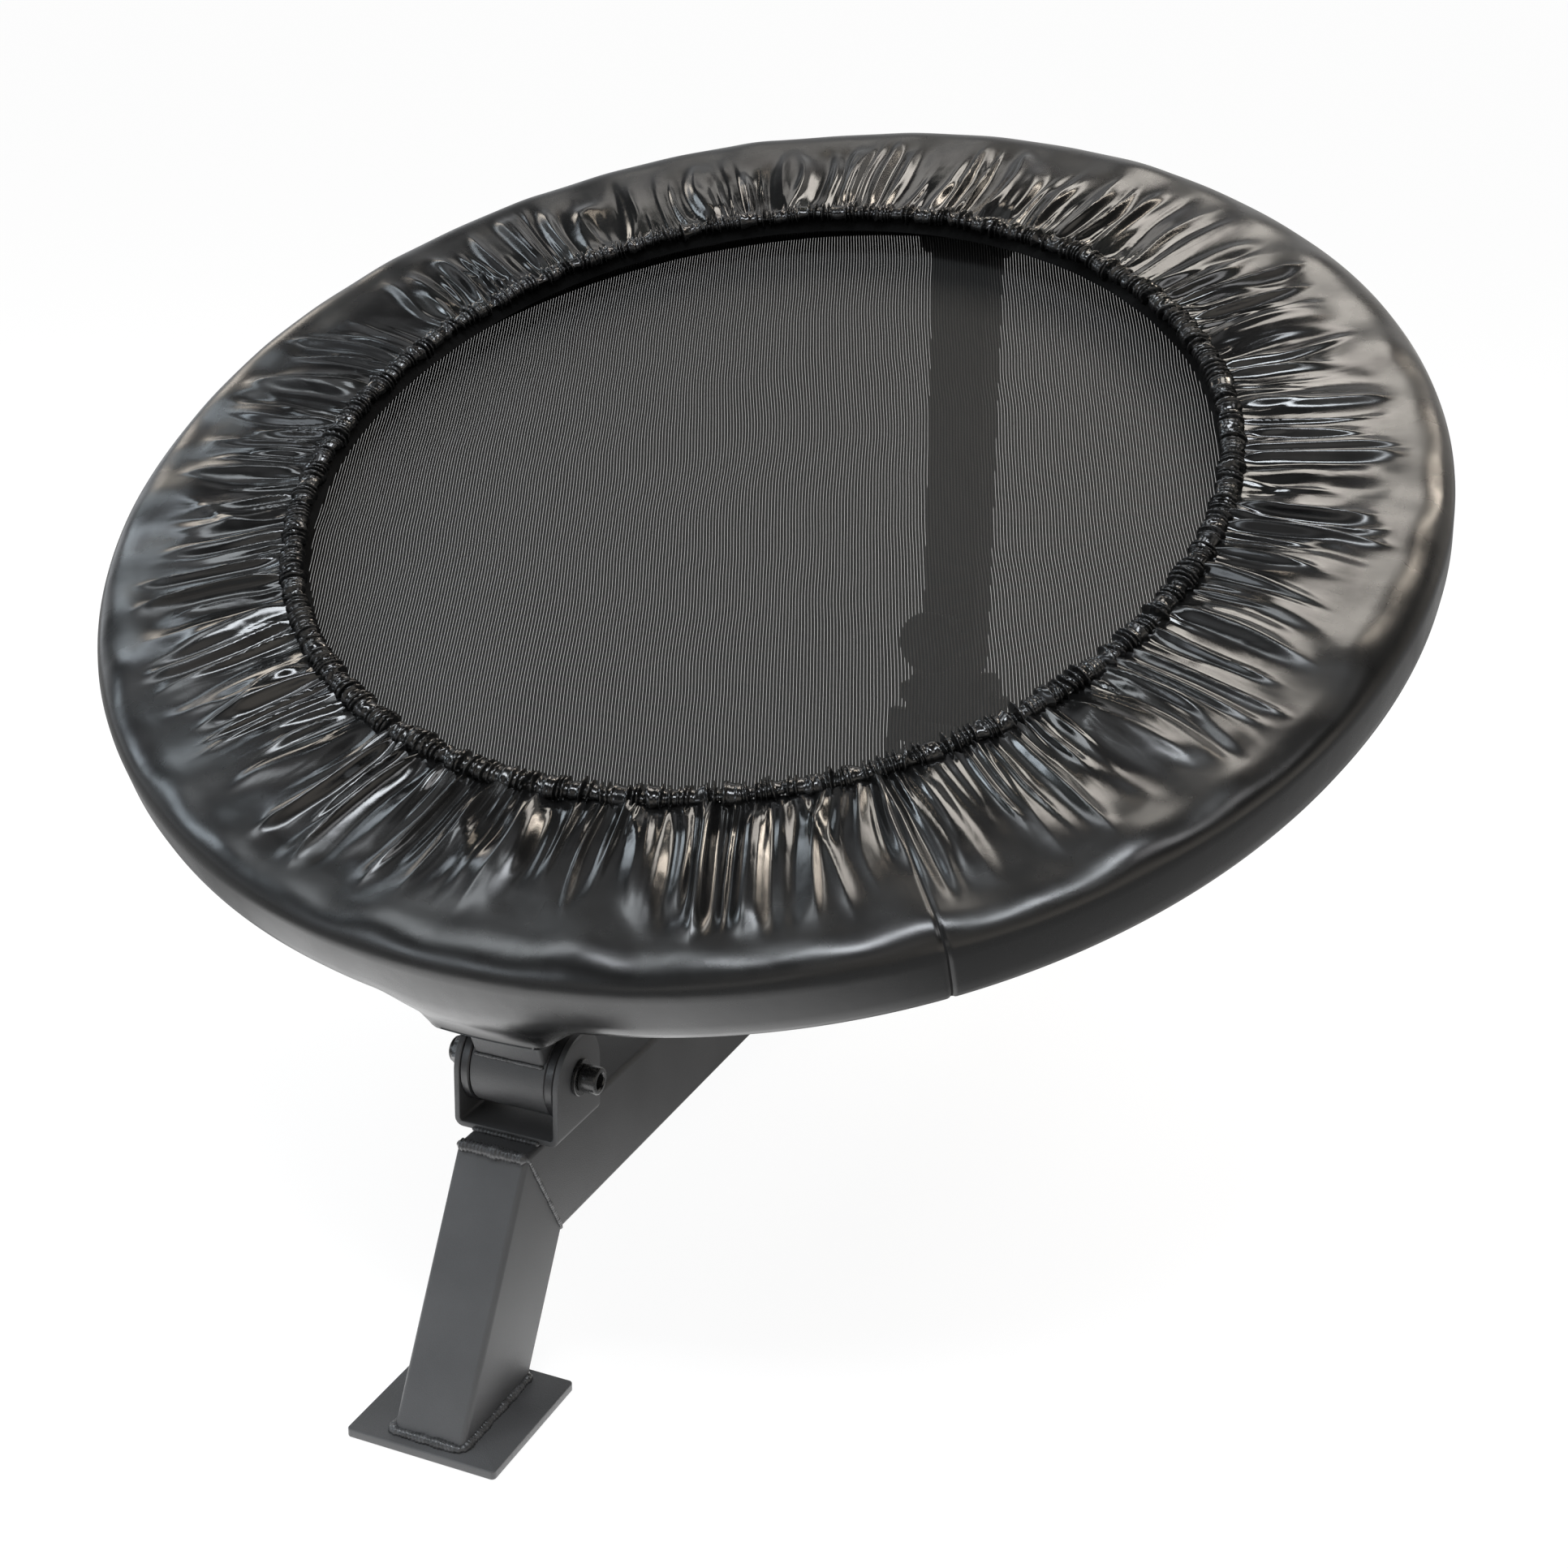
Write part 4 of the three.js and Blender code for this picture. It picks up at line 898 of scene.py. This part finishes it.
def cover_sheet():
    """Grid of the sheet: rows round the ring, columns from the elastic over the rim and under to the hem."""
    shoulder, rim_height, over_radius, over_height, tipped = rim_shape()
    radius = sheet_start + (shoulder - sheet_start) * reach
    start_height = elastic_height + 0.0015
    base = start_height + (rim_height - start_height) * (1 - (1 - reach) ** 2.2) + 0.002 * np.sin(np.pi * reach)
    folded = (gathers(2, 0.0018, 0.0, 0.42) + gathers(1, 0.0048, 0.0, 0.84) + gathers(0, 0.0062, 0.08, 1.0)
              + lone_folds(40, 0.0036, 0.0042, 0.7, (0.75, 1.15), 0.05, 1.2)
              + lone_folds(24, -0.0026, 0.0120, 0.9, (0.65, 0.95), 0.05, 2.0))
    folded = tallest_fold * np.tanh(folded / tallest_fold)
    folded = folded * (1 - 0.9 * ramp(reach, 0.82, 1.0)) * (1 - 0.6 * seam_share(0.005) * ramp(reach, 0.1, 0.3))
    brow = 0.0009 * fold_wave(17, 26, 43)
    sway = 0.0006 * fold_wave(5, 8, 14)
    height = base + folded + brow * np.exp(-((reach - 1) / 0.22) ** 2) + sway * reach
    swell = (sway + brow * np.exp(-(tipped / 0.5) ** 2)) * np.sqrt(1 - tipped**2)
    turned_in = joined([0.448, 0.430, hem_radius], -rim_top)
    under = [*arc(rim_centre, -rim_flat, rim_radius, rim_radius, 0, -90, 6), *turned_in]
    sheet = hang_skirt(np.concatenate([joined(radius, height), joined(over_radius, over_height + swell),
                                       np.broadcast_to(under, (around, 9, 2))], axis=1))
    inwards = np.array([rim_centre - 0.06, 0]) - sheet
    inwards[:, :inside_rows] = (0, -1)
    inwards = inwards / np.linalg.norm(inwards, axis=2, keepdims=True)
    return sheet + 0.0013 * seam_share(0.0013)[..., None] * inwards


profile = cover_sheet()
sheet_points = swept(profile[..., 0], profile[..., 1], angle)


def vinyl_material():
    """Gloss black vinyl: radial creases near the elastic, soft dents elsewhere, and patches that dull the gloss.

    Places are turned into the disc's own axes; a crease is noise on the direction from the middle, x / r and y / r.
    The seam is a rough sunk line, 0.7 mm to either side of the seam's angle.
    """
    sheet, tree, skin = new_material("gathered_vinyl")
    where = object_place(tree)
    centred = vectors(tree, "SUBTRACT", where, tuple(disc_centre))
    level_out = add_node(tree, "Mapping", {"Vector": centred, "Rotation": (-disc_tilt, 0, 0)}).outputs[0]
    flat = vectors(tree, "MULTIPLY", level_out, (1, 1, 0))
    far = vectors(tree, "LENGTH", flat)
    outwards = add_node(tree, "CombineXYZ", {"Z": maths(tree, "MULTIPLY", far, 22)}).outputs[0]
    streak_place = vectors(tree, "MULTIPLY_ADD", vectors(tree, "NORMALIZE", flat), (34, 34, 0), outwards)
    fading = stretched(tree, far, 0.400, 0.455, 1, 0.03)
    creased = maths(tree, "MULTIPLY", noise(tree, streak_place, 1, 2, 0.6), fading)
    grit = grained(tree, where, 1600, 0.05, 22)
    dented = bumped(tree, noise(tree, where, 30, 2), 0.0022, 0.22, Normal=grit["Normal"])
    dull = stretched(tree, grit["Patches"], 0.35, 0.75, 0.08, 0.21)
    dulled = maths(tree, "ADD", dull, stretched(tree, far, 0.385, 0.440, 0, 0.15))
    cos, sin = np.cos(seam_angle), np.sin(seam_angle)
    off_line = maths(tree, "ABSOLUTE", vectors(tree, "DOT_PRODUCT", flat, (-sin, cos, 0)))
    same_side = maths(tree, "GREATER_THAN", vectors(tree, "DOT_PRODUCT", flat, (cos, sin, 0)), 0)
    on_seam = maths(tree, "MULTIPLY", maths(tree, "LESS_THAN", off_line, 0.0007), same_side)
    height = maths(tree, "MULTIPLY_ADD", on_seam, -0.6, creased)
    feed(tree, skin, {
        "Base Color": (0.0045, 0.0045, 0.0045, 1),
        "Roughness": maths(tree, "MAXIMUM", on_seam, dulled),
        "Normal": bumped(tree, height, 0.008, 0.05, Normal=dented),
    })
    return sheet


vinyl = vinyl_material()
cover_mesh = mesh_from_grid("vinyl_cover", sheet_points[:, ::-1], wrap_rows=True, sharp=180)
cover = fit(cover_mesh, vinyl, "disc", "vinyl", "cover")

# Elastic channel: the cover's inner edge sewn back over a cord, pulled into tight upright gathers.
# It is a flattened tube round the well whose skin stands up in pleats every 4 to 6 mm.
gather_source = np.random.default_rng(5)
channel_rows, channel_columns, pleats = 5200, 15, 370
turn = full_turn(channel_rows)
ring = full_turn(channel_columns)
pleat_wave = slow_waves(gather_source, turn)
phase = turn[:, None] * pleats + 2.2 * pleat_wave(31, 47, 83, 131)
phase = phase + 0.9 * pleat_wave(61, 97, 140) * np.cos(ring) + 0.6 * pleat_wave(43, 77) * np.sin(ring)
ruffle = 0.9 - 2.3 * np.abs(np.sin(phase / 2)) ** 0.9 + 0.25 * np.cos(2 * phase + 0.8)
ruffle = ruffle * np.clip(0.85 + 0.45 * pleat_wave(53, 87, 121), 0.2, 1.6)
bunch = 0.0005 * pleat_wave(37, 59, 90)
wide = 0.0080 + bunch + 0.0017 * ruffle
tall = 0.0057 + 0.7 * bunch + 0.0020 * ruffle
channel_radius = elastic_radius + 0.0010 + wide * np.cos(ring)
channel_height = elastic_height + 0.0026 + tall * np.sin(ring) + 0.0007 * pleat_wave(19, 34, 51)
fit_rings("elastic_channel", swept(channel_radius, channel_height, turn), vinyl, "disc", "vinyl", "cover", sharp=180)

# Elastic: flat black woven tape, 10 mm wide, sewn under the channel and drawn in to the well's edge.
# It is a thin closed band whose free lower edge runs in short straight lengths between the stitches.
elastic_cloth = coated("woven_elastic", (0.0010, 0.0010, 0.0010), (0.0050, 0.0050, 0.0050), (0.85, 0.95), 1300, 0.7)
elastic_cloth.node_tree.nodes["Principled BSDF"].inputs["Specular IOR Level"].default_value = 0.06
stitch_source = np.random.default_rng(8)
turn = full_turn(1440)
scallop = 0.0011 * np.abs(np.sin(turn[:, None] * 15 + 0.8 * slow_waves(stitch_source, turn)(4, 7)))
tape = np.array([(0.3365, 0.0300), (0.3285, 0.0222), (0.3294, 0.0214), (0.3378, 0.0294)])
low_end = np.array([0, 1, 1, 0])
tape_points = swept(tape[:, 0] + low_end * (scallop - 0.0005), tape[:, 1] - low_end * 0.6 * scallop, turn)
fit_rings("elastic_tape", tape_points, elastic_cloth, "disc", "nylon", "elastic_cord", sharp=50)
